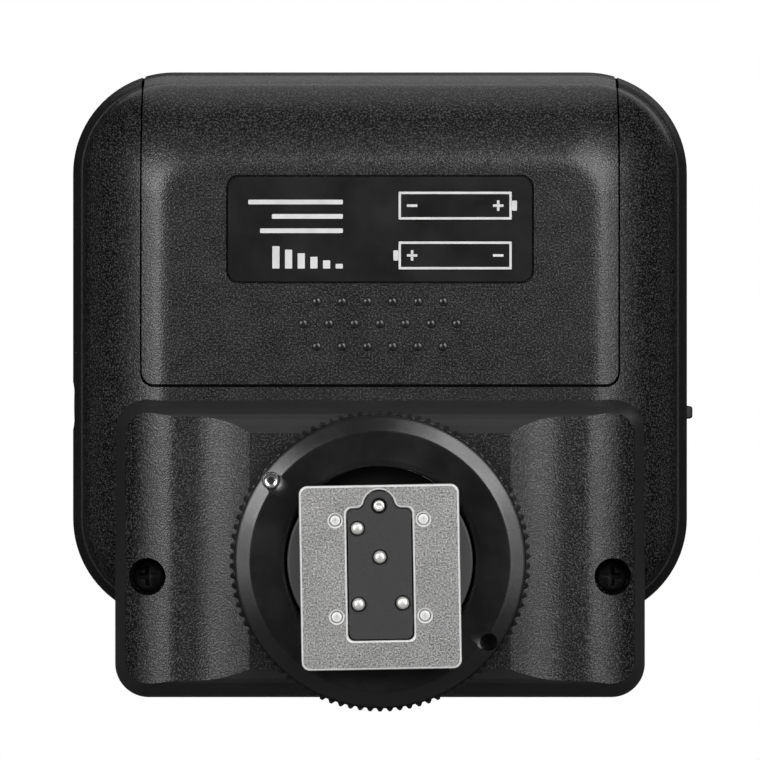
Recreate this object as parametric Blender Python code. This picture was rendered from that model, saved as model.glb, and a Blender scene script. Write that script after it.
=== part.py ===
"""Wireless flash trigger: a rounded-square head with a control face on top, two AA cells behind a
sliding door underneath, and a hot-shoe foot with a knurled lock ring.

Frame: +Z up, control face on top, foot below. -Y is the photographer's side, +Y the lens side.
The origin is on the lock ring's axis, in the plane of the sole of the metal foot plate.
Lengths below are millimetres, turned into metres when a mesh is made.
"""

import math

import bmesh
import bpy
from mathutils import Matrix, Vector

MM = 0.001
GAP = 0.3  # clearance between neighbouring pieces

# head, seen from below: a rounded square
HEAD_X = 37.05
HEAD_Y0, HEAD_Y1 = -7.8, 58.2
HEAD_R = 12.2
PART_Z = 25.5  # parting plane between the two covers
PART_IN = 1.05  # the covers meet this far inside the outline
WIDE_Z = 31.0  # height at which the front cover reaches the full outline
FLAT_Z = 17.6  # raised flat underneath
FLAT_IN = 11.35  # the flat's edge, in from the outline
FLAT_R = 2.5
WALL = 1.9

# control face: a plane tilted up towards the lens side
FACE_Z0 = 36.0
TILT = math.radians(13.63)
FACE_ROUND = 3.0

# battery door and bay
DOOR_X = 28.25
DOOR_Y0 = 20.6
DOOR_Z1 = 33.0
DOOR_WALL = 1.7
CELL_R, CELL_LEN = 7.1, 49.2
NUB_R, NUB_LEN = 2.75, 1.3
CELL_Z = 26.9
CELL_Y = (29.0, 44.0)
BAY_X, BAY_Y0, BAY_Y1, BAY_Z1 = 27.6, 21.4, 51.4, 34.3
DOOR_TRAVEL = 38.0

# label and grip
LABEL_X, LABEL_Y0, LABEL_Y1 = 18.04, 32.7, 45.2
GRIP_ROWS = (
    (30.4, (-7.5, -4.5, -1.5, 1.5, 4.5, 7.5)),
    (27.8, (-9.1, -6.05, -3.03, 0.0, 3.03, 6.05, 9.1)),
    (25.1, (-7.5, -4.5, -1.5, 1.5, 4.5, 7.5)),
)

# foot block
BLOCK_Z = 10.6
BLOCK_Y0, BLOCK_Y1 = -12.8, 14.9
CREASE_X = 15.3
GROOVE_X = 22.8
FOOT_SCREW_X, FOOT_SCREW_Y = 27.4, -2.05
CASE_SCREW_X, CASE_SCREW_Y = 24.5, 13.5

# lock ring and post
RING_Z0, RING_Z1 = 5.0, 10.0
RING_TIP, RING_VALLEY, RING_TEETH = 17.56, 17.18, 94
RING_BORE, RING_THREAD = 11.07, 8.6
PLATE_R = 10.8
POST_R, POST_FLAT = 8.2, 6.1

# ISO 518 foot
SHOE_X, SHOE_Y0, SHOE_Y1, SHOE_T = 9.3, -12.4, 9.0, 2.0
PINS = ((0.0, 0.65), (2.54, 4.0), (2.54, -4.77), (-2.54, -4.7))
LOCK_PIN_Y = 6.55
PLATE_SCREWS = ((5.1, 4.95), (-5.1, 4.95), (5.1, -6.2), (-5.1, -6.2))


# ---------------------------------------------------------------- scene and materials

for leftover in list(bpy.data.objects):
    bpy.data.objects.remove(leftover, do_unlink=True)

scene = bpy.context.scene
scene.unit_settings.system = "METRIC"
scene.unit_settings.scale_length = 1.0

root = bpy.data.objects.new("flash_trigger", None)
root.empty_display_size = 0.02
scene.collection.objects.link(root)
tools = bpy.data.collections.new("cutters")
scene.collection.children.link(tools)
tools.hide_render = True


def material(name, colour, rough, metal=0.0, alpha=1.0):
    made = bpy.data.materials.new(name)
    made.use_nodes = True
    shader = made.node_tree.nodes["Principled BSDF"]
    shader.inputs["Base Color"].default_value = (*colour, 1.0)
    shader.inputs["Roughness"].default_value = rough
    shader.inputs["Metallic"].default_value = metal
    shader.inputs["Alpha"].default_value = alpha
    made.diffuse_color = (*colour, alpha)
    return made


ABS = material("shell_abs", (0.022, 0.022, 0.023), 0.5)
RING = material("ring_nylon", (0.018, 0.018, 0.019), 0.45)
STEEL = material("plated_steel", (0.55, 0.55, 0.54), 0.32, 1.0)
BRIGHT = material("bright_screw", (0.7, 0.7, 0.7), 0.22, 1.0)
BRASS = material("gold_contact", (0.72, 0.6, 0.38), 0.25, 1.0)
INSERT = material("insert_plastic", (0.045, 0.046, 0.048), 0.45)
LABEL = material("label_gloss", (0.012, 0.012, 0.013), 0.25)
KEYS = material("key_rubber", (0.06, 0.06, 0.065), 0.6)
GLASS = material("window_glass", (0.02, 0.022, 0.024), 0.08)
PANEL = material("lcd_glass", (0.35, 0.42, 0.36), 0.2)
BOARD = material("board_green", (0.02, 0.1, 0.04), 0.4)
CELL = material("cell_wrap", (0.05, 0.12, 0.3), 0.35)
LAMP = material("lamp_lens", (0.5, 0.06, 0.04), 0.15)


# ---------------------------------------------------------------- mesh building


def rrect(x0, x1, y0, y1, r, seg=6):
    """Counter-clockwise outline of a rectangle with rounded corners."""
    points = []
    for cx, cy, start in (
        (x1 - r, y1 - r, 0),
        (x0 + r, y1 - r, 90),
        (x0 + r, y0 + r, 180),
        (x1 - r, y0 + r, 270),
    ):
        for i in range(seg + 1):
            a = math.radians(start + 90 * i / seg)
            points.append((cx + r * math.cos(a), cy + r * math.sin(a)))
    return points


def circle(r, n, cx=0.0, cy=0.0, turn=0.0):
    return [
        (cx + r * math.cos(turn + 2 * math.pi * i / n), cy + r * math.sin(turn + 2 * math.pi * i / n))
        for i in range(n)
    ]


def level(outline, z):
    return [(x, y, z) for x, y in outline]


def outward(bm):
    bmesh.ops.recalc_face_normals(bm, faces=bm.faces[:])
    if bm.calc_volume(signed=True) < 0:
        bmesh.ops.reverse_faces(bm, faces=bm.faces[:])
    return bm


def loft(rings, closed=False):
    """Closed solid through rings of equal length. A closed loft joins its last ring to its first."""
    bm = bmesh.new()
    rows = [[bm.verts.new(Vector(p) * MM) for p in ring] for ring in rings]
    pairs = list(zip(rows, rows[1:])) + ([(rows[-1], rows[0])] if closed else [])
    for low, high in pairs:
        for i in range(len(low)):
            j = (i + 1) % len(low)
            bm.faces.new((low[i], low[j], high[j], high[i]))
    if not closed:
        bm.faces.new(rows[0][::-1])
        bm.faces.new(rows[-1])
    return outward(bm)


def prism(outline, z0, z1):
    return loft([level(outline, z0), level(outline, z1)])


def box(x0, x1, y0, y1, z0, z1):
    return prism([(x0, y0), (x1, y0), (x1, y1), (x0, y1)], z0, z1)


def turned(profile, n, cx=0.0, cy=0.0):
    """Solid of revolution about Z. The profile is (radius, z) pairs; it closes on the axis at each end
    where the radius is 0, or on itself where it is a ring."""
    bm = bmesh.new()
    rows = []
    for r, z in profile:
        if r == 0:
            rows.append([bm.verts.new(Vector((cx, cy, z)) * MM)])
        else:
            rows.append([bm.verts.new(Vector((x, y, z)) * MM) for x, y in circle(r, n, cx, cy)])
    pairs = list(zip(rows, rows[1:]))
    if profile[0][0] != 0:
        pairs.append((rows[-1], rows[0]))
    for low, high in pairs:
        for i in range(n):
            j = (i + 1) % n
            if len(low) == 1:
                bm.faces.new((low[0], high[j], high[i]))
            elif len(high) == 1:
                bm.faces.new((low[i], low[j], high[0]))
            else:
                bm.faces.new((low[i], low[j], high[j], high[i]))
    return outward(bm)


def rod(r, z0, z1, n=24, cx=0.0, cy=0.0):
    return turned([(0, z0), (r, z0), (r, z1), (0, z1)], n, cx, cy)


def swept(points, r, sides=6):
    """Round wire along a path, with flat ends."""
    bm = bmesh.new()
    rows = []
    path = [Vector(p) for p in points]
    normal = None
    for i, p in enumerate(path):
        along = (path[min(i + 1, len(path) - 1)] - path[max(i - 1, 0)]).normalized()
        if normal is None:
            normal = along.orthogonal().normalized()
        normal = (normal - along * normal.dot(along)).normalized()
        side = along.cross(normal)
        rows.append(
            [
                bm.verts.new(
                    (p + r * (math.cos(2 * math.pi * k / sides) * normal + math.sin(2 * math.pi * k / sides) * side))
                    * MM
                )
                for k in range(sides)
            ]
        )
    for low, high in zip(rows, rows[1:]):
        for i in range(sides):
            j = (i + 1) % sides
            bm.faces.new((low[i], low[j], high[j], high[i]))
    bm.faces.new(rows[0][::-1])
    bm.faces.new(rows[-1])
    return outward(bm)


def helix(r0, r1, length, turns, steps=10):
    """Points of a coil about Z from z=0 to z=length, its radius running from r0 to r1."""
    count = int(turns * steps)
    return [
        (
            (r0 + (r1 - r0) * i / count) * math.cos(2 * math.pi * i / steps),
            (r0 + (r1 - r0) * i / count) * math.sin(2 * math.pi * i / steps),
            length * i / count,
        )
        for i in range(count + 1)
    ]


def together(*shapes):
    """Several closed shapes in one mesh, for a cutter made of pieces that don't touch."""
    bm = bmesh.new()
    for shape in shapes:
        mesh = bpy.data.meshes.new("piece")
        shape.to_mesh(mesh)
        bm.from_mesh(mesh)
        bpy.data.meshes.remove(mesh)
    return bm


def moved(bm, matrix):
    bmesh.ops.transform(bm, matrix=matrix, verts=bm.verts[:])
    return bm


def place(bm, x=0.0, y=0.0, z=0.0):
    return moved(bm, Matrix.Translation(Vector((x, y, z)) * MM))


# control face: x across, y up the slope from the head's rear edge, z out of the face
FACE = Matrix.Translation(Vector((0, HEAD_Y0, FACE_Z0)) * MM) @ Matrix.Rotation(TILT, 4, "X")


def add(name, bm, mat, origin=(0, 0, 0), sharp=35):
    """An object whose origin is at this point, with its mesh given in world coordinates."""
    at = Vector(origin) * MM
    moved(bm, Matrix.Translation(-at))
    mesh = bpy.data.meshes.new(name)
    bm.to_mesh(mesh)
    mesh.materials.append(mat)
    mesh.shade_smooth()
    mesh.set_sharp_from_angle(angle=math.radians(sharp))
    made = bpy.data.objects.new(name, mesh)
    made.location = at
    scene.collection.objects.link(made)
    made.parent = root
    return made


def add_on_face(name, bm, mat, u=0.0, v=0.0):
    """The same for a piece of the control face, whose mesh is given about (u, v) on the face."""
    mesh = bpy.data.meshes.new(name)
    bm.to_mesh(mesh)
    mesh.materials.append(mat)
    mesh.shade_smooth()
    mesh.set_sharp_from_angle(angle=math.radians(35))
    made = bpy.data.objects.new(name, mesh)
    scene.collection.objects.link(made)
    made.parent = root
    made.matrix_world = FACE @ Matrix.Translation(Vector((u, v, 0)) * MM)
    return made


def tool(name, bm):
    mesh = bpy.data.meshes.new(name)
    bm.to_mesh(mesh)
    made = bpy.data.objects.new(name, mesh)
    tools.objects.link(made)
    made.parent = root
    made.hide_render = True
    made.display_type = "WIRE"
    return made


def combine(target, operation, bm, u=None, v=None):
    """A Boolean with a shape given in world coordinates, or about (u, v) on the control face."""
    step = len(target.modifiers)
    modifier = target.modifiers.new(f"{operation.lower()}_{step}", "BOOLEAN")
    modifier.operation = operation
    modifier.solver = "EXACT"
    if u is not None:
        moved(bm, FACE @ Matrix.Translation(Vector((u, v, 0)) * MM))
    modifier.object = tool(f"{target.name}_tool_{step}", bm)
    return modifier


def cut(target, bm, u=None, v=None):
    return combine(target, "DIFFERENCE", bm, u, v)


def fuse(target, bm, u=None, v=None):
    return combine(target, "UNION", bm, u, v)


def keep(target, bm, u=None, v=None):
    return combine(target, "INTERSECT", bm, u, v)


# ---------------------------------------------------------------- shape of the head


def slope(t):
    """Fall of the covers' underside from the flat (t=0) to the parting plane (t=1), as a share of the height."""
    return 0.25 * t + 0.75 * (1 - math.sqrt(max(0.0, 1 - t * t)))


def underside(t, inward):
    """(inset, z) of the head's underside, moved this far into the head."""
    run, rise = FLAT_IN - PART_IN, PART_Z - FLAT_Z
    inset = FLAT_IN - run * t
    z = FLAT_Z + rise * slope(t)
    if t >= 1:
        return inset + inward, z
    steep = rise / run * (0.25 + 0.75 * t / math.sqrt(1 - t * t)) if t else 0.0
    angle = math.atan(steep)
    return inset + inward * math.sin(angle), z + inward * math.cos(angle)


def head_ring(inset, z, t=1.0, seg=6):
    r = max(HEAD_R - inset, 0.4) + (FLAT_R - (HEAD_R - FLAT_IN)) * (1 - t)
    return level(rrect(-HEAD_X + inset, HEAD_X - inset, HEAD_Y0 + inset, HEAD_Y1 - inset, max(r, 0.6), seg), z)


STEPS = (0.0, 0.22, 0.42, 0.6, 0.75, 0.87, 0.95, 1.0)


def head_outer(inward=0.0, above=()):
    """Rings of the underside from the flat up to the parting plane and on to the heights asked for."""
    rings = [head_ring(*underside(t, inward), t) for t in STEPS]
    for inset, z in above:
        rings.append(head_ring(inset + inward, z))
    return rings


def shell(wall, above=()):
    return loft(head_outer(0.0, above) + head_outer(wall, above)[::-1])


def face_height(y):
    return FACE_Z0 + (y - HEAD_Y0) * math.tan(TILT)


def front_rings(inward):
    rings = [head_ring(inset + inward, z) for inset, z in ((PART_IN - 0.05, PART_Z + GAP), (0.45, 28.4), (0.0, WIDE_Z))]
    for inset, drop in ((0.0, 3.0), (0.4, 1.5), (1.5, 0.4), (3.0, 0.0)):
        flat = head_ring(inset + inward, 0.0)
        rings.append([(x, y, face_height(y) - drop - inward / math.cos(TILT)) for x, y, _ in flat])
    return rings


# ---------------------------------------------------------------- rear cover

rear = add("rear_cover", shell(WALL), ABS)
cut(rear, prism(rrect(-DOOR_X - GAP, DOOR_X + GAP, DOOR_Y0 - GAP, 70, 1.7, 5), 10, 40))
fuse(rear, box(-30.2, 30.2, 19.2, 48.5, 19.6, 35.3))
fuse(rear, box(-30.1, 30.1, 47.0, 52.6, 22.0, 35.2))
cut(rear, box(-BAY_X, BAY_X, BAY_Y0, BAY_Y1, 15, BAY_Z1))
cut(rear, box(-DOOR_X - GAP, DOOR_X + GAP, DOOR_Y0 - GAP, 70, 12, 20.7))
cut(rear, box(-DOOR_X - GAP, DOOR_X + GAP, 46.5, 70, 12, 22.3))
for side in (-1, 1):
    fuse(rear, rod(2.7, 22.5, 25.7, 12, side * FOOT_SCREW_X, FOOT_SCREW_Y))
# clearance holes of the foot screws, counterbored holes of the case screws, and the hole for the foot's wires
cut(
    rear,
    together(
        rod(1.2, 10, 40, 16, FOOT_SCREW_X, FOOT_SCREW_Y),
        rod(1.2, 10, 40, 16, -FOOT_SCREW_X, FOOT_SCREW_Y),
        rod(3.2, 10, 22, 24, 0, 6.0),
    ),
)
for side in (-1, 1):
    x = side * CASE_SCREW_X
    fuse(rear, rod(3.2, 18.4, 21.3, 20, x, CASE_SCREW_Y))
    cut(rear, turned([(0, 15), (2.1, 15), (2.1, 19.6), (1.2, 19.6), (1.2, 24), (0, 24)], 20, x, CASE_SCREW_Y))

# ---------------------------------------------------------------- battery door

door = add(
    "battery_door",
    shell(DOOR_WALL, ((0.45, 28.4), (0.0, WIDE_Z), (0.0, DOOR_Z1))),
    ABS,
    origin=(0, DOOR_Y0, FLAT_Z),
)
keep(door, prism(rrect(-DOOR_X, DOOR_X, DOOR_Y0, 70, 1.5, 5), 10, 40))
recess = rrect(-LABEL_X - 0.25, LABEL_X + 0.25, LABEL_Y0 - 0.25, LABEL_Y1 + 0.25, 1.0, 4)
cut(door, prism(recess, 10, FLAT_Z + 0.8))
dots = []
for y, places in GRIP_ROWS:
    for x in places:
        dots.append(turned([(0, FLAT_Z - 0.35), (0.45, FLAT_Z), (0.45, FLAT_Z + 0.4), (0, FLAT_Z + 0.4)], 6, x, y))
fuse(door, together(*dots))

label = add("label_plate", prism(rrect(-LABEL_X, LABEL_X, LABEL_Y0, LABEL_Y1, 0.9, 4), FLAT_Z + 0.12, FLAT_Z + 0.5), LABEL, origin=(0, DOOR_Y0, FLAT_Z))

# ---------------------------------------------------------------- front cover

front = add("front_cover", loft(front_rings(WALL)[::-1] + front_rings(0.0)), ABS)
cut(front, box(-DOOR_X - GAP, DOOR_X + GAP, 50, 70, 20, DOOR_Z1 + GAP))

WINDOW = (0.0, 44.5, 48.0, 30.0)  # u, v, width, height
SCREEN = (46.0, 28.0)
KEY_V, KEY_U, KEY_W, KEY_H = 24.6, (-16.5, -5.5, 5.5, 16.5), 8.0, 4.2
DIAL_V, DIAL_R = 12.2, 8.2
SIDE_KEYS = {"menu_button": (-17.5, 13.6), "mode_button": (17.5, 13.6)}
TEST_UV, TEST_R = (-27.5, 13.0), 3.2
LAMP_UV, LAMP_R = (27.5, 13.0), 1.2


def rect_at(u, v, w, h, r, z0, z1, seg=2):
    return prism(rrect(u - w / 2, u + w / 2, v - h / 2, v + h / 2, r, seg), z0, z1)


openings = [
    rect_at(WINDOW[0], WINDOW[1], WINDOW[2] + 0.6, WINDOW[3] + 0.6, 1.5, -1.3, 3),
    rod(6.4, -6, 3, 32, 0, DIAL_V),
    rod(TEST_R + 0.3, -6, 3, 24, *TEST_UV),
    rod(LAMP_R + 0.25, -6, 3, 16, *LAMP_UV),
]
openings += [rect_at(u, KEY_V, KEY_W + 0.6, KEY_H + 0.6, 1.2, -6, 3) for u in KEY_U]
openings += [rect_at(u, v, 7.0 + 0.6, 4.2 + 0.6, 1.2, -6, 3) for u, v in SIDE_KEYS.values()]
cut(front, moved(together(*openings), FACE))
cut(front, moved(rect_at(WINDOW[0], WINDOW[1], *SCREEN, 0.8, -6, 3), FACE))
cut(front, moved(rod(DIAL_R + 0.4, -0.9, 3, 40, 0, DIAL_V), FACE))
# slot of the power switch, and the two sockets' holes
SWITCH_Y, SWITCH_Z, SWITCH_TRAVEL = 17.2, 34.0, 2.5
USB_Y, USB_Z = 30.5, 36.6
SYNC_Y, SYNC_Z = 18.0, 31.8
cut(front, box(-40, -33, SWITCH_Y - 1.1, SWITCH_Y + SWITCH_TRAVEL + 1.1, SWITCH_Z - 2.5, SWITCH_Z + 2.5))
cut(front, moved(prism(rrect(-1.95, 1.95, -4.95, 4.95, 1.6, 4), 33, 40), Matrix.Translation(Vector((0, USB_Y, USB_Z)) * MM) @ Matrix.Rotation(math.radians(90), 4, "Y")))
cut(front, moved(rod(3.0, 33, 40, 24), Matrix.Translation(Vector((0, SYNC_Y, SYNC_Z)) * MM) @ Matrix.Rotation(math.radians(90), 4, "Y")))
# screw bosses that come down from the control face
for side in (-1, 1):
    for x, y, z0 in ((side * FOOT_SCREW_X, FOOT_SCREW_Y, 26.2), (side * CASE_SCREW_X, CASE_SCREW_Y, 21.7)):
        top = face_height(y) - 1.0
        fuse(front, turned([(0, z0 + 8.6), (1.05, z0 + 8.6), (1.05, z0), (2.6, z0), (2.6, top), (0, top)], 12, x, y))

# ---------------------------------------------------------------- foot block

BLOCK = (
    # z, half width, rear edge, front edge, corner radius
    (BLOCK_Z, 28.9, BLOCK_Y0, BLOCK_Y1, 2.2),
    (11.2, 29.1, -13.4, 15.8, 2.4),
    (12.6, 29.5, -14.5, 17.3, 2.9),
    (15.0, 30.1, -15.4, 18.4, 3.3),
    (19.0, 31.3, -16.5, 19.4, 3.9),
    (24.6, 31.6, -16.7, 19.6, 4.0),
    (26.2, 31.1, -16.2, 19.2, 3.6),
    (27.0, 29.8, -14.9, 18.2, 3.0),
)
block = add("foot_block", loft([level(rrect(-x, x, y0, y1, r, 5), z) for z, x, y0, y1, r in BLOCK]), ABS)


# how far each wing's underside lies above the block's lower face, from the crease outwards: a hollow flank
# down to a shallow groove, then a swell that rolls over into the block's side
WING = (
    (CREASE_X, 0.0),
    (15.9, 0.37),
    (16.5, 0.67),
    (17.5, 1.07),
    (18.5, 1.38),
    (19.5, 1.62),
    (20.5, 1.81),
    (21.6, 1.95),
    (GROOVE_X, 2.0),
    (24.5, 2.06),
    (26.5, 2.32),
    (28.0, 2.74),
    (29.0, 3.21),
    (29.6, 3.65),
    (30.0, 4.1),
    (30.4, 5.2),
)


def wing_profile():
    """(x, z) of one wing's underside, from the crease outwards."""
    return [(x, BLOCK_Z + rise) for x, rise in WING]


for side in (-1, 1):
    wing = wing_profile()
    outline = [(side * x, z) for x, z in wing] + [(side * 36, wing[-1][1]), (side * 36, 5.0), (side * CREASE_X, 5.0)]
    if side < 0:
        outline = outline[::-1]
    cut(block, loft([[(x, y, z) for x, z in outline] for y in (-30.0, 30.0)]))

cut(block, loft(head_outer(-GAP, ((0.0, WIDE_Z), (0.0, 45.0)))))
# hollow over the middle and up into the heel
cut(block, box(-13.2, 13.2, -7.95, 12.3, 12.8, 40))
cut(block, box(-13.2, 13.2, -11.8, -7.0, 12.8, 24.8))
for side in (-1, 1):
    cut(
        block,
        turned(
            [(0, 5), (2.2, 5), (2.2, 18.8), (1.2, 18.8), (1.2, 40), (0, 40)], 20, side * FOOT_SCREW_X, FOOT_SCREW_Y
        ),
    )
cut(block, together(rod(POST_R + 0.3, 5, 20, 36), rod(0.75, 11.4, 20, 12, 9.9, 0), rod(0.75, 11.4, 20, 12, -9.9, 0)))


def screw(name, x, y, head_z, head_r, head_h, shank_r, shank_h, up=True, mat=STEEL, n=10):
    """Pan-head screw with a hexagonal drive, its head at head_z and its shank running up or down from it."""
    s = 1 if up else -1
    profile = [
        (0, head_z + s * 0.5 * head_h),
        (head_r * 0.45, head_z + s * 0.5 * head_h),
        (head_r * 0.45, head_z),
        (head_r * 0.8, head_z),
        (head_r, head_z + s * 0.3 * head_h),
        (head_r, head_z + s * head_h),
        (shank_r, head_z + s * head_h),
        (shank_r, head_z + s * (head_h + shank_h - 0.4)),
        (shank_r * 0.6, head_z + s * (head_h + shank_h)),
        (0, head_z + s * (head_h + shank_h)),
    ]
    return add(name, turned(profile, n, x, y), mat, origin=(x, y, head_z))


screw("foot_screw_1", FOOT_SCREW_X, FOOT_SCREW_Y, 16.9, 1.85, 1.6, 0.85, 12.6)
screw("foot_screw_2", -FOOT_SCREW_X, FOOT_SCREW_Y, 16.9, 1.85, 1.6, 0.85, 12.6)
screw("case_screw_1", CASE_SCREW_X, CASE_SCREW_Y, 18.0, 1.75, 1.3, 0.85, 9.6)
screw("case_screw_2", -CASE_SCREW_X, CASE_SCREW_Y, 18.0, 1.75, 1.3, 0.85, 9.6)

# ---------------------------------------------------------------- foot post


def flatted(r, flat, n=12):
    """Circle of radius r with flats at x = +-flat."""
    a0 = math.acos(flat / r)
    points = []
    for start in (a0, math.pi + a0):
        for i in range(n + 1):
            a = start + (math.pi - 2 * a0) * i / n
            points.append((r * math.cos(a), r * math.sin(a)))
    return points


post = add("foot_post", prism(flatted(POST_R - 0.1, POST_FLAT), 2.3, 7.0), STEEL)
fuse(post, rod(POST_R, 6.5, 14.0, 36))
fuse(post, rod(11.4, 13.1, 14.9, 36))
cut(
    post,
    together(
        prism(rrect(-3.9, 3.9, -6.2, 5.1, 0.6, 3), 0, 20),
        turned([(0, 0), (1.15, 0), (1.15, 11), (0, 11)], 16, 0, LOCK_PIN_Y + 0.0),
        rod(0.8, 12, 20, 12, 9.9, 0),
        rod(0.8, 12, 20, 12, -9.9, 0),
        *[rod(0.7, 0, 6.2, 12, x, y) for x, y in PLATE_SCREWS],
    ),
)
screw("post_screw_1", 9.9, 0, 16.3, 1.2, 1.0, 0.5, 3.4, up=False)
screw("post_screw_2", -9.9, 0, 16.3, 1.2, 1.0, 0.5, 3.4, up=False)

# ---------------------------------------------------------------- lock ring and pressure plate


def knurled_ring():
    n = RING_TEETH
    inner = [(RING_THREAD, RING_Z0 + 1.6), (RING_BORE, RING_Z0 + 1.6), (RING_BORE, RING_Z0), (15.17, RING_Z0), (17.0, RING_Z0 + 0.55)]
    top = [(16.7, RING_Z1), (RING_THREAD, RING_Z1)]
    bm = bmesh.new()

    def row(r, z):
        return [bm.verts.new(Vector((x, y, z)) * MM) for x, y in circle(r, n)]

    def teeth(z):
        verts = []
        for i in range(2 * n):
            r = RING_TIP if i % 2 else RING_VALLEY
            a = math.pi * i / n
            verts.append(bm.verts.new(Vector((r * math.cos(a), r * math.sin(a), z)) * MM))
        return verts

    def sides(low, high):
        for i in range(len(low)):
            j = (i + 1) % len(low)
            bm.faces.new((low[i], low[j], high[j], high[i]))

    def to_teeth(plain, knurl):
        for i in range(n):
            j = (i + 1) % n
            a, tip, b = knurl[2 * i], knurl[2 * i + 1], knurl[(2 * i + 2) % (2 * n)]
            bm.faces.new((plain[i], tip, a))
            bm.faces.new((plain[i], plain[j], tip))
            bm.faces.new((plain[j], b, tip))

    lower = [row(r, z) for r, z in inner]
    upper = [row(r, z) for r, z in top]
    low_teeth, high_teeth = teeth(RING_Z0 + 1.2), teeth(RING_Z1 - 0.5)
    for a, b in zip(lower, lower[1:]):
        sides(a, b)
    to_teeth(lower[-1], low_teeth)
    sides(low_teeth, high_teeth)
    to_teeth(upper[0], high_teeth)
    sides(upper[0], upper[1])
    sides(upper[1], lower[0])
    return outward(bm)


HOLE_A, HOLE_B = (12.7, 9.4), (-12.67, -9.4)
ring = add("lock_ring", knurled_ring(), RING)
cut(ring, together(rod(1.1, 3, RING_Z0 + 3.0, 16, *HOLE_A), rod(1.1, 3, RING_Z0 + 3.0, 16, *HOLE_B)))
stop = add(
    "ring_stop_screw",
    turned([(0, 6.4), (0.35, 6.4), (0.35, 5.7), (0.7, 5.7), (0.82, 5.85), (0.82, 7.6), (0, 7.6)], 14, *HOLE_A),
    BRIGHT,
)

clamp = []
for i in range(33):
    a = math.radians(90 - 42.3 - 275.4 * i / 32)
    clamp.append((PLATE_R * math.cos(a), PLATE_R * math.sin(a)))
inner_r, half = POST_R + 0.3, POST_FLAT + 0.3
low = math.asin(math.sqrt(1 - (half / inner_r) ** 2))
clamp.append((-half, 8.0))
for i in range(13):
    a = math.radians(180) + low + (math.pi - 2 * low) * i / 12
    clamp.append((inner_r * math.cos(a), inner_r * math.sin(a)))
clamp.append((half, 8.0))
plate = add("pressure_plate", prism(clamp[::-1], 4.9, 6.3), RING)

# ---------------------------------------------------------------- shoe plate, insert and contacts


def insert_outline(grow=0.0):
    """Rounded rectangle with a half-round tab at its front edge."""
    x1, y0, y1, r = 3.7 + grow, -8.87 - grow, 6.2 + grow, 0.75
    tab_y, tab_r = 6.6, 1.7 + grow
    points = []
    for cx, cy, start in ((x1 - r, y1 - r, 0),):
        for i in range(5):
            a = math.radians(start + 90 * i / 4)
            points.append((cx + r * math.cos(a), cy + r * math.sin(a)))
    a0 = math.asin((y1 - tab_y) / tab_r)
    for i in range(13):
        a = a0 + (math.pi - 2 * a0) * i / 12
        points.append((tab_r * math.cos(a), tab_y + tab_r * math.sin(a)))
    for cx, cy, start in ((-x1 + r, y1 - r, 90), (-x1 + r, y0 + r, 180), (x1 - r, y0 + r, 270)):
        for i in range(5):
            a = math.radians(start + 90 * i / 4)
            points.append((cx + r * math.cos(a), cy + r * math.sin(a)))
    return points


def shoe_ring(inset, z):
    return level(rrect(-SHOE_X + inset, SHOE_X - inset, SHOE_Y0 + inset, SHOE_Y1 - inset, 0.9 - inset * 0.6, 4), z)


shoe = add("foot_plate", loft([shoe_ring(0.25, 0.0), shoe_ring(0.0, 0.25), shoe_ring(0.0, SHOE_T - 0.2), shoe_ring(0.2, SHOE_T)]), STEEL)
cut(shoe, prism(insert_outline(0.15), -1, 4))
cut(
    shoe,
    together(*[turned([(0, -0.5), (0.98, -0.5), (0.98, 0.05), (0.66, 1.0), (0.66, 4), (0, 4)], 12, x, y) for x, y in PLATE_SCREWS]),
)

insert = add("contact_insert", prism(insert_outline(-0.05), 0.35, 1.9), INSERT)
fuse(insert, box(-3.55, 3.55, -5.85, 4.75, 1.5, 6.0))
cut(
    insert,
    together(
        *[turned([(0, -1), (0.95, -1), (0.95, 2.5), (1.35, 2.5), (1.35, 8), (0, 8)], 10, x, y) for x, y in PINS],
        rod(0.9, -1, 4, 14, 0, LOCK_PIN_Y),
    ),
)

for k, (x, y) in enumerate(PINS, 1):
    add(
        f"contact_pin_{k}",
        turned([(0, -0.5), (0.4, -0.44), (0.75, -0.1), (0.75, 2.85), (1.1, 2.85), (1.1, 3.4), (0.42, 3.4), (0.42, 4.0), (0, 4.0)], 10, x, y),
        BRASS,
        origin=(x, y, 0),
    )
    add(f"contact_spring_{k}", place(swept(helix(0.82, 0.82, 3.6, 4.0, 7), 0.11, 4), x, y, 4.25), STEEL, origin=(x, y, 4.25))
add(
    "lock_pin",
    turned([(0, 0.05), (0.35, 0.1), (0.62, 0.35), (0.68, 0.6), (0.68, 6.1), (0.95, 6.1), (0.95, 6.7), (0, 6.7)], 14, 0, LOCK_PIN_Y),
    STEEL,
    origin=(0, LOCK_PIN_Y, 0),
)
add("lock_pin_spring", place(swept(helix(0.72, 0.72, 3.4, 4.0, 7), 0.11, 4), 0, LOCK_PIN_Y, 7.1), STEEL, origin=(0, LOCK_PIN_Y, 7.1))
add("contact_board", prism(rrect(-3.55, 3.55, -5.85, 4.75, 0.4, 2), 8.4, 9.4), BOARD)
for k, (x, y) in enumerate(PLATE_SCREWS, 1):
    add(
        f"plate_screw_{k}",
        turned([(0, 0.35), (0.22, 0.35), (0.3, 0.02), (0.78, 0.02), (0.45, 1.0), (0.45, 5.6), (0, 5.6)], 10, x, y),
        BRIGHT,
        origin=(x, y, 0),
    )

# ---------------------------------------------------------------- cells and battery contacts

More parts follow.
